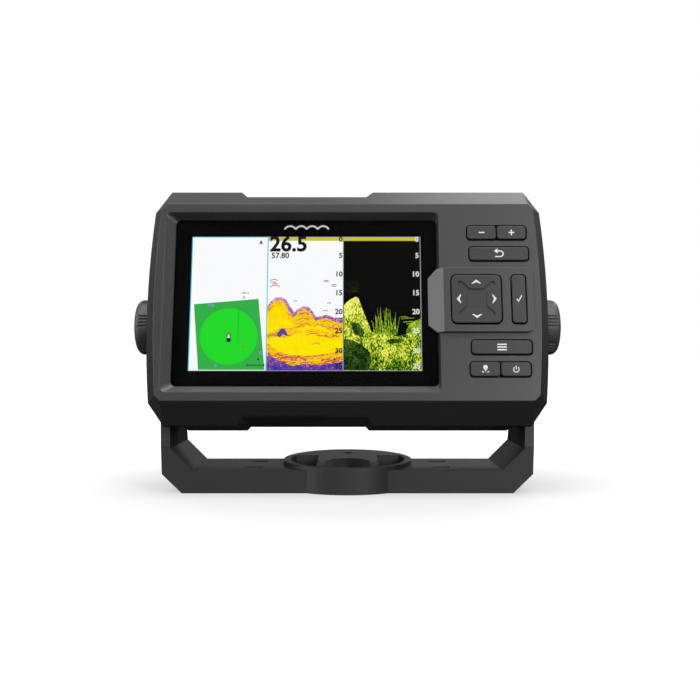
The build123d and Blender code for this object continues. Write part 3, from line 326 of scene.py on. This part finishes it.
bm = bmesh.new()
x = PAIR_MID + PAIR_SHIFT
half = STROKE / 2
cross = [(-1.35, half), (-half, half), (-half, 1.35), (half, 1.35), (half, half), (1.35, half)]
cross += [(1.35, -half), (half, -half), (half, -1.35), (-half, -1.35), (-half, -half), (-1.35, -half)]
plate(bm, [(x + a, OUTER_ROW + b) for a, b in cross], KEY_TOP)
sign_from(bm, "zoom_in_key")

bm = bmesh.new()
bar(bm, (ROW_MID - 1.9, INNER_ROW - 1.45), (ROW_MID + 0.65, INNER_ROW - 1.45), STROKE, KEY_TOP)
arc(bm, (ROW_MID + 0.6, INNER_ROW - 0.1), 1.35, STROKE, -90, 90, KEY_TOP)
bar(bm, (ROW_MID + 0.65, INNER_ROW + 1.25), (ROW_MID - 0.65, INNER_ROW + 1.25), STROKE, KEY_TOP)
tip = [(-2.3, 1.25), (-0.6, -0.05), (-0.6, 2.55)]
plate(bm, [(ROW_MID + a, INNER_ROW + b) for a, b in tip], KEY_TOP)
sign_from(bm, "back_key")

bm = bmesh.new()
for rise in (-1.25, 0.0, 1.25):
    bar(bm, (ROW_MID - 2.2, rise - INNER_ROW), (ROW_MID + 2.2, rise - INNER_ROW), 0.62, KEY_TOP)
sign_from(bm, "menu_key")

bm = bmesh.new()
x = PAIR_MID - PAIR_SHIFT
disc(bm, (x, 0.9 - OUTER_ROW), 1.05, KEY_TOP)
plate(bm, [(x - 0.8, 0.35 - OUTER_ROW), (x, -1.15 - OUTER_ROW), (x + 0.8, 0.35 - OUTER_ROW)], KEY_TOP)
arc(bm, (x, 0.6 - OUTER_ROW), 2.2, 0.42, 222, 252, KEY_TOP, 6)
arc(bm, (x, 0.6 - OUTER_ROW), 2.2, 0.42, 288, 318, KEY_TOP, 6)
sign_from(bm, "waypoint_key")

bm = bmesh.new()
x = PAIR_MID + PAIR_SHIFT
arc(bm, (x, -0.1 - OUTER_ROW), 1.25, 0.42, 130, 410, KEY_TOP, 30)
bar(bm, (x, -0.1 - OUTER_ROW), (x, 1.6 - OUTER_ROW), 0.42, KEY_TOP)
sign_from(bm, "power_key")

ISLAND_TOP = -2.6 - INK_T
SELECT_MID = 79.0
bm = bmesh.new()
tick = [(-1.3, -0.25), (-0.95, 0.1), (-0.4, -0.75), (1.0, 1.75), (1.4, 1.45), (-0.35, -1.6)]
plate(bm, [(SELECT_MID + a, b) for a, b in tick], ISLAND_TOP)
sign_from(bm, "select_key")

# Pad: one silicone cap that rocks on an acetal bead, which is hard and slippery.
# An arrowhead is printed at each of its four sides.
PAD_MID = 59.45
ARROW_REACH = 8.3
bm = bmesh.new()
for turn in range(4):
    spin = Matrix.Rotation(math.radians(90.0 * turn), 2)
    head = [(-2.3, -1.0), (0.0, 0.9), (2.3, -1.0), (1.6, -1.1), (0.0, -0.35), (-1.6, -1.1)]
    head = [spin @ Vector((a, b + ARROW_REACH)) for a, b in head]
    plate(bm, [(PAD_MID + a, b) for a, b in head], ISLAND_TOP)
sign_from(bm, "pad_key")
dress(moulded("acetal", "#d6d6d0", "#dcdcd8", 0.35, 0.3, 0.0, ior=1.48), "pad_bead")

# Window: hard-coated glass taped in behind the lip, its back printed black round the lit area.
# The print is dead black, as ink bonded to glass is. The glass has an anti-glare coat that takes away
# most of its reflection, which its low index of refraction stands for.
glass, tree = new_material("coated_glass")
shade = add_node(
    tree, "BsdfPrincipled",
    {
        "Base Color": linear("#ffffff"), "Roughness": 0.03, "IOR": 1.18, "Transmission Weight": 1.0,
    },
)
add_node(tree, "OutputMaterial", {"Surface": shade.outputs[0]})
dress(glass, "display_window")
dress(moulded("screen_print_black", "#020202", "#030303", 0.6, 0.3, 0.0, ior=1.08), "window_mask")
dress(moulded("foam_tape", "#0c0c0c", "#101010", 0.8, 0.3, 0.02), "window_tape")

# Mark above the screen: a plain wave, printed in pale grey ink on the glass.
# The ink is matt beside the glass and slightly mottled.
MARK_MID = -19.3
MARK_RISE = 36.0
mark_ink, tree = new_material("grey_glass_ink")
place = add_node(tree, "TexCoord")
mottle = add_node(tree, "TexNoise", {"Vector": place.outputs["Object"], "Scale": 1 / (0.4 * MM)})
tones = add_node(tree, "ValToRGB", {"Fac": mottle.outputs["Fac"]})
tones.color_ramp.elements[0].color = linear("#b4b4b4")
tones.color_ramp.elements[1].color = linear("#c4c4c4")
shade = add_node(tree, "BsdfPrincipled", {"Base Color": tones.outputs["Color"], "Roughness": 0.5})
add_node(tree, "OutputMaterial", {"Surface": shade.outputs[0]})
bm = bmesh.new()
for lobe in range(4):
    middle = MARK_MID + (lobe - 1.5) * 5.2
    arc(bm, (middle, MARK_RISE - 1.6), 2.9, 0.8, 26, 154, 3.8 - INK_T, 14)
bmesh.ops.remove_doubles(bm, verts=bm.verts, dist=1e-7)
mark = piece_from(bm, "wave_mark", mark_ink)
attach(mark, "display")

# Screen: a lit colour panel behind the glass, split into a chart, a depth picture and a bottom scan.
# Each colour is a thin lit sheet on the panel, and the sonar returns break up into grains as real ones do.
LIT_LEFT = -73.5
LIT_TOP = 32.4
PANEL_FRONT = 5.2
LAYER = 0.02
SHEET_T = 0.012


def lit(name, colour):
    """A backlit colour, with the faint unevenness of a lit panel."""
    material, tree = new_material(name)
    place = add_node(tree, "TexCoord")
    grain = add_node(tree, "TexNoise", {"Vector": place.outputs["Object"], "Scale": 1 / (0.5 * MM)})
    tones = add_node(tree, "ValToRGB", {"Fac": grain.outputs["Fac"]})
    tones.color_ramp.elements[0].color = [0.94 * c for c in linear(colour)[:3]] + [1.0]
    tones.color_ramp.elements[1].color = linear(colour)
    shade = add_node(tree, "Emission", {"Color": tones.outputs["Color"]})
    add_node(tree, "OutputMaterial", {"Surface": shade.outputs[0]})
    return material


def returns(name, bands, stretch, grain, low, high):
    """Sonar returns: bands of colour by height, broken up by grains of this size in millimetres."""
    material, tree = new_material(name)
    place = add_node(tree, "TexCoord")
    scaled = add_node(tree, "Mapping", {"Vector": place.outputs["Object"], "Scale": stretch})
    noise = add_node(
        tree, "TexNoise", {
            "Vector": scaled.outputs["Vector"], "Scale": 1 / (grain * MM), "Detail": 5.0,
            "Roughness": 0.7,
        }
    )
    coarse = add_node(
        tree, "TexNoise",
        {"Vector": scaled.outputs["Vector"], "Scale": 1 / (7 * grain * MM), "Detail": 2.0},
    )
    split = add_node(tree, "SeparateXYZ", {"Vector": place.outputs["Object"]})
    rise = add_node(
        tree, "MapRange",
        {"Value": split.outputs["Z"], "From Min": low, "From Max": high, "To Min": -0.3, "To Max": 0.7},
    )
    fine = add_node(
        tree, "Math", {0: noise.outputs["Fac"], 1: 3.0, 2: rise.outputs["Result"]},
        operation="MULTIPLY_ADD",
    )
    broad = add_node(
        tree, "Math", {0: coarse.outputs["Fac"], 1: 1.0, 2: fine.outputs[0]},
        operation="MULTIPLY_ADD",
    )
    level = add_node(tree, "Math", {0: broad.outputs[0], 1: 1.7}, operation="SUBTRACT")
    tones = add_node(tree, "ValToRGB", {"Fac": level.outputs[0]})
    ramp = tones.color_ramp
    ramp.elements[0].position = bands[0][0]
    ramp.elements[0].color = linear(bands[0][1])
    ramp.elements[1].position = bands[-1][0]
    ramp.elements[1].color = linear(bands[-1][1])
    for position, colour in bands[1:-1]:
        ramp.elements.new(position).color = linear(colour)
    shade = add_node(tree, "Emission", {"Color": tones.outputs["Color"]})
    add_node(tree, "OutputMaterial", {"Surface": shade.outputs[0]})
    return material


def on_screen(x, y):
    """A place on the screen, counted from its upper left corner to the right and down."""
    return LIT_LEFT + x, LIT_TOP - y


def sheet(bm, corners, layer):
    """Adds a lit sheet with these corners, on this layer in front of the panel."""
    plate(bm, [on_screen(x, y) for x, y in corners], PANEL_FRONT - LAYER * layer, SHEET_T)


def block(bm, left, top, right, bottom, layer):
    """Adds a lit rectangle."""
    sheet(bm, [(left, top), (right, top), (right, bottom), (left, bottom)], layer)


def show(bm, name, material):
    """Puts a lit sheet on the panel."""
    picture = piece_from(bm, name, material)
    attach(picture, "display")


def numerals(bm, text, right, middle, height, layer, bold=0.0):
    """Adds a number that ends at the right place and stands about this middle, with plain digits."""
    curve = bpy.data.curves.new("numerals", "FONT")
    curve.body = text
    curve.align_x = "RIGHT"
    curve.align_y = "CENTER"
    curve.size = height * 1.4
    curve.offset = bold
    curve.resolution_u = 3
    word = bpy.data.objects.new("numerals", curve)
    bpy.context.collection.objects.link(word)
    bpy.context.view_layer.update()
    drawn = bpy.data.meshes.new_from_object(word.evaluated_get(bpy.context.evaluated_depsgraph_get()))
    bpy.data.objects.remove(word)
    bpy.data.curves.remove(curve)
    x, z = on_screen(right, middle)
    depth = PANEL_FRONT - LAYER * layer + SHEET_T
    lay = HOUSING @ Matrix.Scale(MM, 4) @ Matrix.Translation((x, depth, z)) @ Matrix.Rotation(
        math.pi / 2, 4, "X",
    )
    drawn.transform(lay)
    digits = bmesh.new()
    digits.from_mesh(drawn)
    bpy.data.meshes.remove(drawn)
    bmesh.ops.remove_doubles(digits, verts=digits.verts, dist=1e-7)
    front = bmesh.ops.extrude_face_region(digits, geom=list(digits.faces))["geom"]
    forward = HOUSING.to_3x3() @ Vector((0.0, -SHEET_T * MM, 0.0))
    bmesh.ops.translate(
        digits, vec=forward, verts=[v for v in front if isinstance(v, bmesh.types.BMVert)]
    )
    made = bpy.data.meshes.new("digits")
    digits.to_mesh(made)
    digits.free()
    bm.from_mesh(made)
    bpy.data.meshes.remove(made)


FIGURE_LAYER = 7
CHART_END = 35.9
DEPTH_END = 71.5
SCREEN_END = 108.0
SCREEN_BOTTOM = 64.8

bm = bmesh.new()
block(bm, 0.0, 0.0, DEPTH_END, SCREEN_BOTTOM, 1)
show(bm, "screen_white", lit("backlit_white", "#fdfeff"))

bm = bmesh.new()
block(bm, DEPTH_END, 0.0, SCREEN_END, SCREEN_BOTTOM, 1)
show(bm, "screen_black", lit("backlit_black", "#020302"))

bm = bmesh.new()
block(bm, 0.0, 0.0, 0.45, SCREEN_BOTTOM, 3)
block(bm, 0.3, 0.0, CHART_END, 0.4, 4)
block(bm, CHART_END - 0.2, 0.2, CHART_END + 0.3, SCREEN_BOTTOM, 3)
show(bm, "screen_frame_lines", lit("backlit_cyan", "#48c8dc"))

bm = bmesh.new()
block(bm, DEPTH_END - 0.2, 0.0, DEPTH_END + 0.2, SCREEN_BOTTOM, 3)
block(bm, SCREEN_END - 0.35, 0.0, SCREEN_END, SCREEN_BOTTOM, 3)
block(bm, CHART_END + 0.3, 0.0, SCREEN_END - 0.2, 0.3, 4)
block(bm, 0.45, SCREEN_BOTTOM - 0.3, SCREEN_END - 0.2, SCREEN_BOTTOM, 4)
show(bm, "screen_dividers", lit("backlit_grey", "#9aa6ae"))

bm = bmesh.new()
block(bm, CHART_END + 0.3, 0.3, SCREEN_END - 1.4, 2.0, 2)
show(bm, "depth_history_bar", lit("backlit_ochre", "#cfc43c"))

# Chart: the mapped water round the boat, with the search ring, the boat, its track and a few marks.
# It is drawn in flat backlit colours, each on a layer of its own.
bm = bmesh.new()
sheet(bm, [(1.8, 33.0), (31.9, 30.4), (35.3, 64.2), (4.7, 64.2)], 2)
show(bm, "mapped_water", lit("backlit_deep_green", "#35b048"))
bm = bmesh.new()
ring = on_screen(18.4, 48.4)
disc(bm, ring, 13.4, PANEL_FRONT - LAYER * 3, 48, SHEET_T)
show(bm, "search_ring", lit("backlit_bright_green", "#22dc2a"))
bm = bmesh.new()
bar(bm, on_screen(22.9, 34.4), on_screen(22.7, 45.5), 0.25, PANEL_FRONT - LAYER * 4, SHEET_T)
bar(bm, on_screen(22.7, 45.5), on_screen(22.5, 52.0), 0.15, PANEL_FRONT - LAYER * 4, SHEET_T)
show(bm, "track", lit("backlit_track_green", "#1a9a2c"))
bm = bmesh.new()
sheet(bm, [(18.4, 46.0), (19.3, 47.8), (19.3, 51.0), (17.5, 51.0), (17.5, 47.8)], 4)
bar(bm, on_screen(27.2, 62.0), on_screen(35.2, 62.0), 0.35, PANEL_FRONT - LAYER * 4, SHEET_T)
bar(bm, on_screen(27.2, 61.4), on_screen(27.2, 62.6), 0.35, PANEL_FRONT - LAYER * 5, SHEET_T)
bar(bm, on_screen(35.0, 61.4), on_screen(35.0, 62.6), 0.35, PANEL_FRONT - LAYER * 5, SHEET_T)
sheet(bm, [(32.6, 1.5), (33.5, 3.9), (32.6, 3.3), (31.7, 3.9)], 4)
sheet(bm, [(25.1, 29.0), (25.6, 30.1), (24.6, 30.1)], 4)
sheet(bm, [(32.3, 58.4), (32.8, 59.6), (31.8, 59.6)], 4)
numerals(bm, "0012", 27.3, 27.6, 1.1, 4)
show(bm, "chart_marks", lit("backlit_dark", "#101418"))
bm = bmesh.new()
sheet(bm, [(18.4, 46.9), (18.9, 48.2), (18.9, 49.2), (17.9, 49.2), (17.9, 48.2)], 5)
show(bm, "boat_deck", lit("backlit_deck", "#f4f6f6"))
bm = bmesh.new()
sheet(bm, [(18.4, 46.0), (18.9, 47.2), (17.9, 47.2)], 6)
sheet(bm, [(25.0, 52.2), (25.5, 53.2), (24.5, 53.2)], 4)
bar(bm, on_screen(25.0, 53.0), on_screen(25.0, 54.2), 0.35, PANEL_FRONT - LAYER * 5, SHEET_T)
show(bm, "red_marks", lit("backlit_red", "#b43c28"))
bm = bmesh.new()
for x, y in ((10.6, 33.6), (12.6, 62.2), (9.2, 33.2), (33.4, 56.2)):
    disc(bm, on_screen(x, y), 0.75, PANEL_FRONT - LAYER * 4, 14, SHEET_T)
show(bm, "buoy_marks", lit("backlit_slate", "#6f9fb4"))

# Depth picture: the bottom under the boat in hot colours, a few fish over it, and the depth in figures.
# The strongest echoes are yellow, and weaker ones run through orange to violet.
bottom_line = [
    (36.2, 34.2), (37.6, 31.6), (39.8, 29.8), (42.8, 29.6), (45.0, 31.0), (46.9, 34.0), (48.6, 37.0),
    (50.4, 35.2), (52.6, 34.0), (55.2, 34.2), (57.2, 36.2), (59.0, 39.2), (61.6, 38.5), (63.9, 38.0),
    (67.0, 39.4), (71.3, 39.4),
]
bm = bmesh.new()
sheet(bm, [*bottom_line, (71.3, 64.5), (36.2, 64.5)], 2)
violet_line = returns(
    "backlit_violet_returns",
    [(0.0, "#3a2ea0"), (0.45, "#4a36a8"), (0.62, "#7a4aa0"), (0.78, "#d2603c"), (0.9, "#e8b8d8")],
    (1.0, 1.0, 1.6), 0.6, 0.034, 0.100,
)
show(bm, "bottom_edge", violet_line)
inner_line = [
    (36.2, 35.8), (38.0, 33.0), (40.2, 31.4), (42.6, 31.2), (44.4, 32.6), (46.0, 36.2), (48.4, 39.4),
    (50.8, 36.8), (52.8, 35.4), (54.8, 35.8), (56.6, 37.8), (58.6, 41.0), (61.4, 40.2), (64.0, 39.6),
    (67.2, 41.4), (71.3, 42.2),
]
bm = bmesh.new()
sheet(
    bm,
    [
        *inner_line, (71.3, 60.2), (66.0, 61.4), (60.0, 62.2), (54.0, 61.4), (48.0, 62.4),
        (42.0, 60.0), (38.0, 57.5), (36.2, 56.0),
    ],
    3,
)
hot = returns(
    "backlit_orange_returns",
    [
        (0.0, "#3c2890"), (0.22, "#7a2c80"), (0.36, "#d04a30"), (0.5, "#f07c10"), (0.62, "#ffd400"),
        (0.8, "#fff000"), (1.0, "#f08c20"),
    ],
    (0.7, 1.0, 2.4), 0.9, 0.030, 0.098,
)
show(bm, "hard_bottom", hot)
bm = bmesh.new()
sheet(
    bm,
    [
        (36.2, 37.8), (38.6, 34.6), (41.0, 33.2), (43.2, 34.0), (45.0, 37.8), (46.8, 41.6),
        (49.6, 43.4), (46.0, 44.2), (42.0, 44.8), (39.0, 46.0), (36.2, 47.0),
    ],
    4,
)
sheet(
    bm,
    [
        (36.2, 50.2), (40.0, 48.4), (44.5, 49.4), (50.0, 47.0), (55.0, 46.6), (60.5, 48.6),
        (66.0, 49.4), (71.3, 48.4), (71.3, 54.6), (66.0, 56.0), (60.0, 57.2), (53.0, 57.6),
        (46.0, 57.0), (41.0, 55.2), (38.0, 52.6), (36.2, 51.6),
    ],
    4,
)
sheet(
    bm,
    [
        (50.0, 45.0), (55.5, 43.2), (60.0, 42.8), (64.5, 44.8), (66.5, 47.2), (62.0, 45.6),
        (57.0, 44.8), (52.0, 46.2),
    ],
    4,
)
bright = returns(
    "backlit_yellow_returns", [
        (0.0, "#c04030"), (0.12, "#f07010"), (0.26, "#ffb000"), (0.36, "#ffe400"), (0.8, "#fff200"),
        (1.0, "#ffc800"),
    ],
    (1.0, 1.0, 2.2), 0.8, 0.020, 0.090,
)
show(bm, "second_echo", bright)
bm = bmesh.new()
sheet(bm, [(40.6, 47.8), (42.6, 44.6), (44.6, 45.2), (46.2, 48.4), (43.6, 47.4), (42.2, 49.0)], 5)
for x, y, wide in (
        (39.0, 21.6, 2.4), (39.4, 24.6, 2.9), (63.6, 21.9, 1.7), (67.2, 23.9, 1.6),
        (65.0, 32.6, 1.0), (49.2, 31.6, 1.1), (63.2, 36.4, 1.6),
):
    arc(bm, on_screen(x, y + wide), wide * 1.25, 0.32, 50, 130, PANEL_FRONT - LAYER * 5, 10, SHEET_T)
show(bm, "fish_arches", lit("backlit_violet", "#5a4496"))
bm = bmesh.new()
for x, y, wide in ((38.8, 22.6, 2.0), (39.6, 23.4, 1.9), (67.2, 24.5, 1.2), (63.6, 22.3, 0.9)):
    arc(bm, on_screen(x, y + wide), wide * 1.2, 0.42, 55, 125, PANEL_FRONT - LAYER * 6, 8, SHEET_T)
show(bm, "fish_cores", lit("backlit_orange", "#d8622c"))
bm = bmesh.new()
for x, y, wide in (
        (53.0, 40.4, 3.0), (60.0, 43.4, 2.6), (66.0, 44.8, 2.6), (57.4, 47.6, 3.4),
        (53.6, 37.6, 2.4), (64.0, 41.4, 2.2), (54.0, 43.0, 3.2), (59.0, 52.0, 2.2),
):
    arc(bm, on_screen(x, y + wide), wide * 1.2, 0.3, 45, 135, PANEL_FRONT - LAYER * 6, 10, SHEET_T)
show(bm, "echo_streaks", lit("backlit_plum", "#9a3c58"))

bm = bmesh.new()
numerals(bm, "26.5", 54.6, 3.9, 7.4, FIGURE_LAYER, 0.3)
numerals(bm, "57.80", 46.0, 9.4, 2.7, FIGURE_LAYER, 0.09)
RANGE_ROWS = (1.4, 9.4, 18.5, 27.6, 36.7, 45.8, 55.3, 62.6)
for step, row in enumerate(RANGE_ROWS):
    numerals(bm, str(5 * step), 71.2, row, 2.5, FIGURE_LAYER, 0.1)
show(bm, "depth_figures", lit("backlit_ink", "#14161a"))

# Scan of the bottom: black water, a bright rise of rock with weed standing on it, and green shade below.
# One hue runs from black to pale yellow, and coarse grains stand for the echoes.
rock_line = [
    (71.9, 33.6), (73.4, 31.8), (75.4, 30.4), (77.4, 29.4), (78.6, 30.0), (80.4, 35.0), (82.6, 40.6),
    (84.6, 46.0), (88.0, 47.6), (92.0, 46.8), (96.0, 48.4), (100.0, 47.4), (103.6, 46.0), (107.6, 45.6),
]
bm = bmesh.new()
sheet(bm, [*rock_line, (107.6, 64.5), (71.9, 64.5)], 2)
rock = returns(
    "backlit_green_returns",
    [
        (0.0, "#020a02"), (0.25, "#123c08"), (0.42, "#2f7a10"), (0.56, "#8cb41c"), (0.7, "#e0e028"),
        (1.0, "#fff890"),
    ],
    (1.6, 1.0, 0.8), 0.9, 0.030, 0.102,
)
show(bm, "rock_scan", rock)
bm = bmesh.new()
sheet(
    bm,
    [(71.9, 49.4), (76.0, 50.2), (80.4, 52.6), (84.0, 56.0), (84.6, 60.0), (83.4, 64.3), (71.9, 64.3)],
    3,
)
sheet(bm, [(91.4, 50.4), (94.6, 49.4), (99.0, 49.8), (98.0, 51.4), (93.4, 52.0)], 3)
sheet(bm, [(74.6, 41.0), (79.0, 42.4), (81.6, 46.4), (80.4, 48.8), (76.6, 47.4)], 3)
shade_green = returns(
    "backlit_shade_returns", [(0.0, "#020602"), (0.4, "#0e2a0a"), (0.7, "#2c5a14"), (1.0, "#7c9a24")],
    (1.6, 1.0, 1.0), 0.6, 0.020, 0.120,
)
show(bm, "rock_shade", shade_green)
bm = bmesh.new()
for stem in range(34):
    foot = 85.6 + stem * 0.33
    lean = 1.6 * math.sin(stem * 2.4)
    reach = 6.0 + 5.4 * abs(math.sin(stem * 1.7)) * (0.4 + math.sin(math.pi * stem / 33))
    sheet(
        bm,
        [
            (foot, 47.6), (foot + 0.32, 47.6), (foot + lean + 0.1, 47.6 - reach),
            (foot + lean, 47.6 - reach),
        ],
        2 + stem % 3,
    )
for x, y, tall, lean in (
        (98.6, 40.2, 0.5, 6.0), (99.4, 41.8, 0.5, 4.6), (101.0, 42.6, 0.4, 5.4),
        (101.8, 39.4, 0.3, -3.4),
):
    sheet(bm, [(x, y), (x + lean, y - tall), (x + lean, y - tall - 0.25), (x, y - 0.3)], 3)
sheet(bm, [(100.6, 46.4), (102.4, 42.4), (105.0, 41.0), (107.6, 40.0), (107.6, 46.0)], 2)
weed = returns(
    "backlit_weed_returns", [(0.0, "#0c2a06"), (0.3, "#2f6a12"), (0.55, "#7ab020"), (0.8, "#c8d838")],
    (1.0, 1.0, 1.0), 0.5, 0.040, 0.110,
)
show(bm, "weed_scan", weed)
bm = bmesh.new()
for speck in range(46):
    x = 72.6 + 5.2 * abs(math.sin(speck * 3.1)) + 0.9 * math.cos(speck * 5.3)
    y = 21.6 + 5.4 * abs(math.cos(speck * 1.9))
    size = 0.16 + 0.14 * abs(math.sin(speck * 7.7))
    sheet(bm, [(x, y), (x + size, y - size), (x + 1.5 * size, y + size)], 2)
for speck in range(14):
    x = 82.0 + 22.0 * abs(math.sin(speck * 2.3))
    y = 26.0 + 14.0 * abs(math.cos(speck * 3.7))
    sheet(bm, [(x, y), (x + 0.3, y - 0.2), (x + 0.4, y + 0.25)], 2)
show(bm, "drifting_specks", lit("backlit_dim_green", "#3a4a18"))
bm = bmesh.new()
for step, row in enumerate(RANGE_ROWS):
    numerals(bm, str(5 * step), 107.2, row, 2.5, FIGURE_LAYER, 0.1)
show(bm, "scan_figures", lit("backlit_pale", "#dfe6d2"))

# Screen module: the panel's cell and its light guide in a pressed tin-plate frame, with its flat cable.
# The cell is black and glossy when dark, the light guide opal acrylic, and the film cable clear amber.
dress(moulded("panel_glass", "#08090a", "#0c0d0e", 0.2, 0.3, 0.0, ior=1.5), "lcd_panel")
dress(moulded("opal_light_guide", "#dadad6", "#e4e4e0", 0.3, 0.4, 0.0, ior=1.49), "lcd_backlight")


def metal(name, colour, shine, roughness, grain, stretch=(1.0, 1.0, 1.0)):
    """A bare or plated metal, with fine marks in millimetres that may be drawn out one way."""
    material, tree = new_material(name)
    place = add_node(tree, "TexCoord")
    drawn = add_node(tree, "Mapping", {"Vector": place.outputs["Object"], "Scale": stretch})
    marks = add_node(
        tree, "TexNoise",
        {"Vector": drawn.outputs["Vector"], "Scale": 1 / (grain * MM), "Detail": 3.0},
    )
    tones = add_node(tree, "ValToRGB", {"Fac": marks.outputs["Fac"]})
    tones.color_ramp.elements[0].color = linear(colour)
    tones.color_ramp.elements[1].color = linear(shine)
    rough = add_node(
        tree, "MapRange", {
            "Value": marks.outputs["Fac"], "To Min": roughness - 0.08, "To Max": roughness + 0.08,
        }
    )
    bump = add_node(
        tree, "Bump", {"Height": marks.outputs["Fac"], "Strength": 0.3, "Distance": 0.01 * MM},
    )
    shade = add_node(
        tree, "BsdfPrincipled",
        {
            "Base Color": tones.outputs["Color"], "Metallic": 1.0, "Roughness": rough.outputs["Result"],
            "Normal": bump.outputs["Normal"],
        },
    )
    add_node(tree, "OutputMaterial", {"Surface": shade.outputs[0]})
    return material


dress(metal("tin_plate", "#a8aaa8", "#b8bab8", 0.35, 0.3, (1.0, 1.0, 6.0)), "lcd_frame", "shield_can")
dress(moulded("polyimide_film", "#8a4a12", "#9a5618", 0.3, 0.4, 0.0), "lcd_flex")

# Screws, washers and studs: turned stainless steel, driven or pressed home, with key domes of spring steel.
# Lathe marks give the steel a soft shine that is drawn out round each piece.
dress(
    metal("turned_stainless", "#a9a9a6", "#bcbcb8", 0.28, 0.25, (5.0, 1.0, 1.0)),
    "housing_screws", "frame_screws", "board_screws", "keypad_screws", "key_domes",
    "knob_washer_left", "knob_washer_right", "knob_stud_left", "knob_stud_right",
)

# Circuit boards: glass cloth laminate with green solder mask over its copper, screwed to moulded posts.
# The tracks show through the mask as a paler network, drawn far coarser than real ones so that it reads.
# The parts soldered on have their own finishes: sintered ferrite and ceramic, aluminium cans, phenolic.
masked, tree = new_material("green_solder_mask")
place = add_node(tree, "TexCoord")
upright = add_node(
    tree, "Mapping", {"Vector": place.outputs["Object"], "Rotation": (math.radians(-90.0), 0.0, 0.0)}
)
tracks = add_node(
    tree, "TexBrick",
    {
        "Vector": upright.outputs["Vector"], "Scale": 1 / (8 * MM), "Mortar Size": 0.03,
        "Color1": linear("#0f4a26"), "Color2": linear("#0d4423"), "Mortar": linear("#2a7a48"),
    },
)
shade = add_node(
    tree, "BsdfPrincipled", {"Base Color": tracks.outputs["Color"], "Roughness": 0.28, "IOR": 1.52},
)
add_node(tree, "OutputMaterial", {"Surface": shade.outputs[0]})
dress(masked, "main_board", "keypad_board")
dress(moulded("ferrite", "#2a2a2c", "#343436", 0.55, 0.4, 0.02), "sonar_transformer")
dress(moulded("microwave_ceramic", "#b8b09a", "#c6beaa", 0.5, 0.4, 0.01, ior=1.6), "gps_antenna")
dress(metal("sleeved_aluminium", "#8e9092", "#a0a2a4", 0.35, 0.3), "board_capacitors")
dress(moulded("phenolic_case", "#161616", "#1c1c1c", 0.4, 0.4, 0.01), "beeper")

# Sockets: black glass-filled nylon shells, clamped in the bay by nickelled brass nuts.
# Their pins are plated with gold, which stays bright where the nickel round it goes warm grey.
dress(
    moulded("socket_nylon", "#1c1c1d", "#222223", 0.45, 0.4, 0.02), "power_socket",
    "transducer_socket",
)
dress(metal("gold_plate", "#c89a4c", "#d8ac60", 0.25, 0.2), "power_pins", "transducer_pins")
dress(metal("nickel_plate", "#9c988e", "#aeaaa0", 0.3, 0.3), "socket_nuts")

# Clamp: knobs over-moulded in rubber for wet hands, rubber washers that grip the arms, and brass inserts
# moulded into the tub for the studs.
dress(
    moulded("overmoulded_rubber", "#404041", "#464647", 0.5, 0.4, 0.02, ease=0.35), "knob_left",
    "knob_right",
)
dress(
    moulded("friction_rubber", "#181818", "#1e1e1e", 0.65, 0.4, 0.03), "friction_washer_left",
    "friction_washer_right",
)
dress(
    metal("turned_brass", "#b08a44", "#c49c54", 0.3, 0.25, (5.0, 1.0, 1.0)), "pivot_insert_left",
    "pivot_insert_right",
)
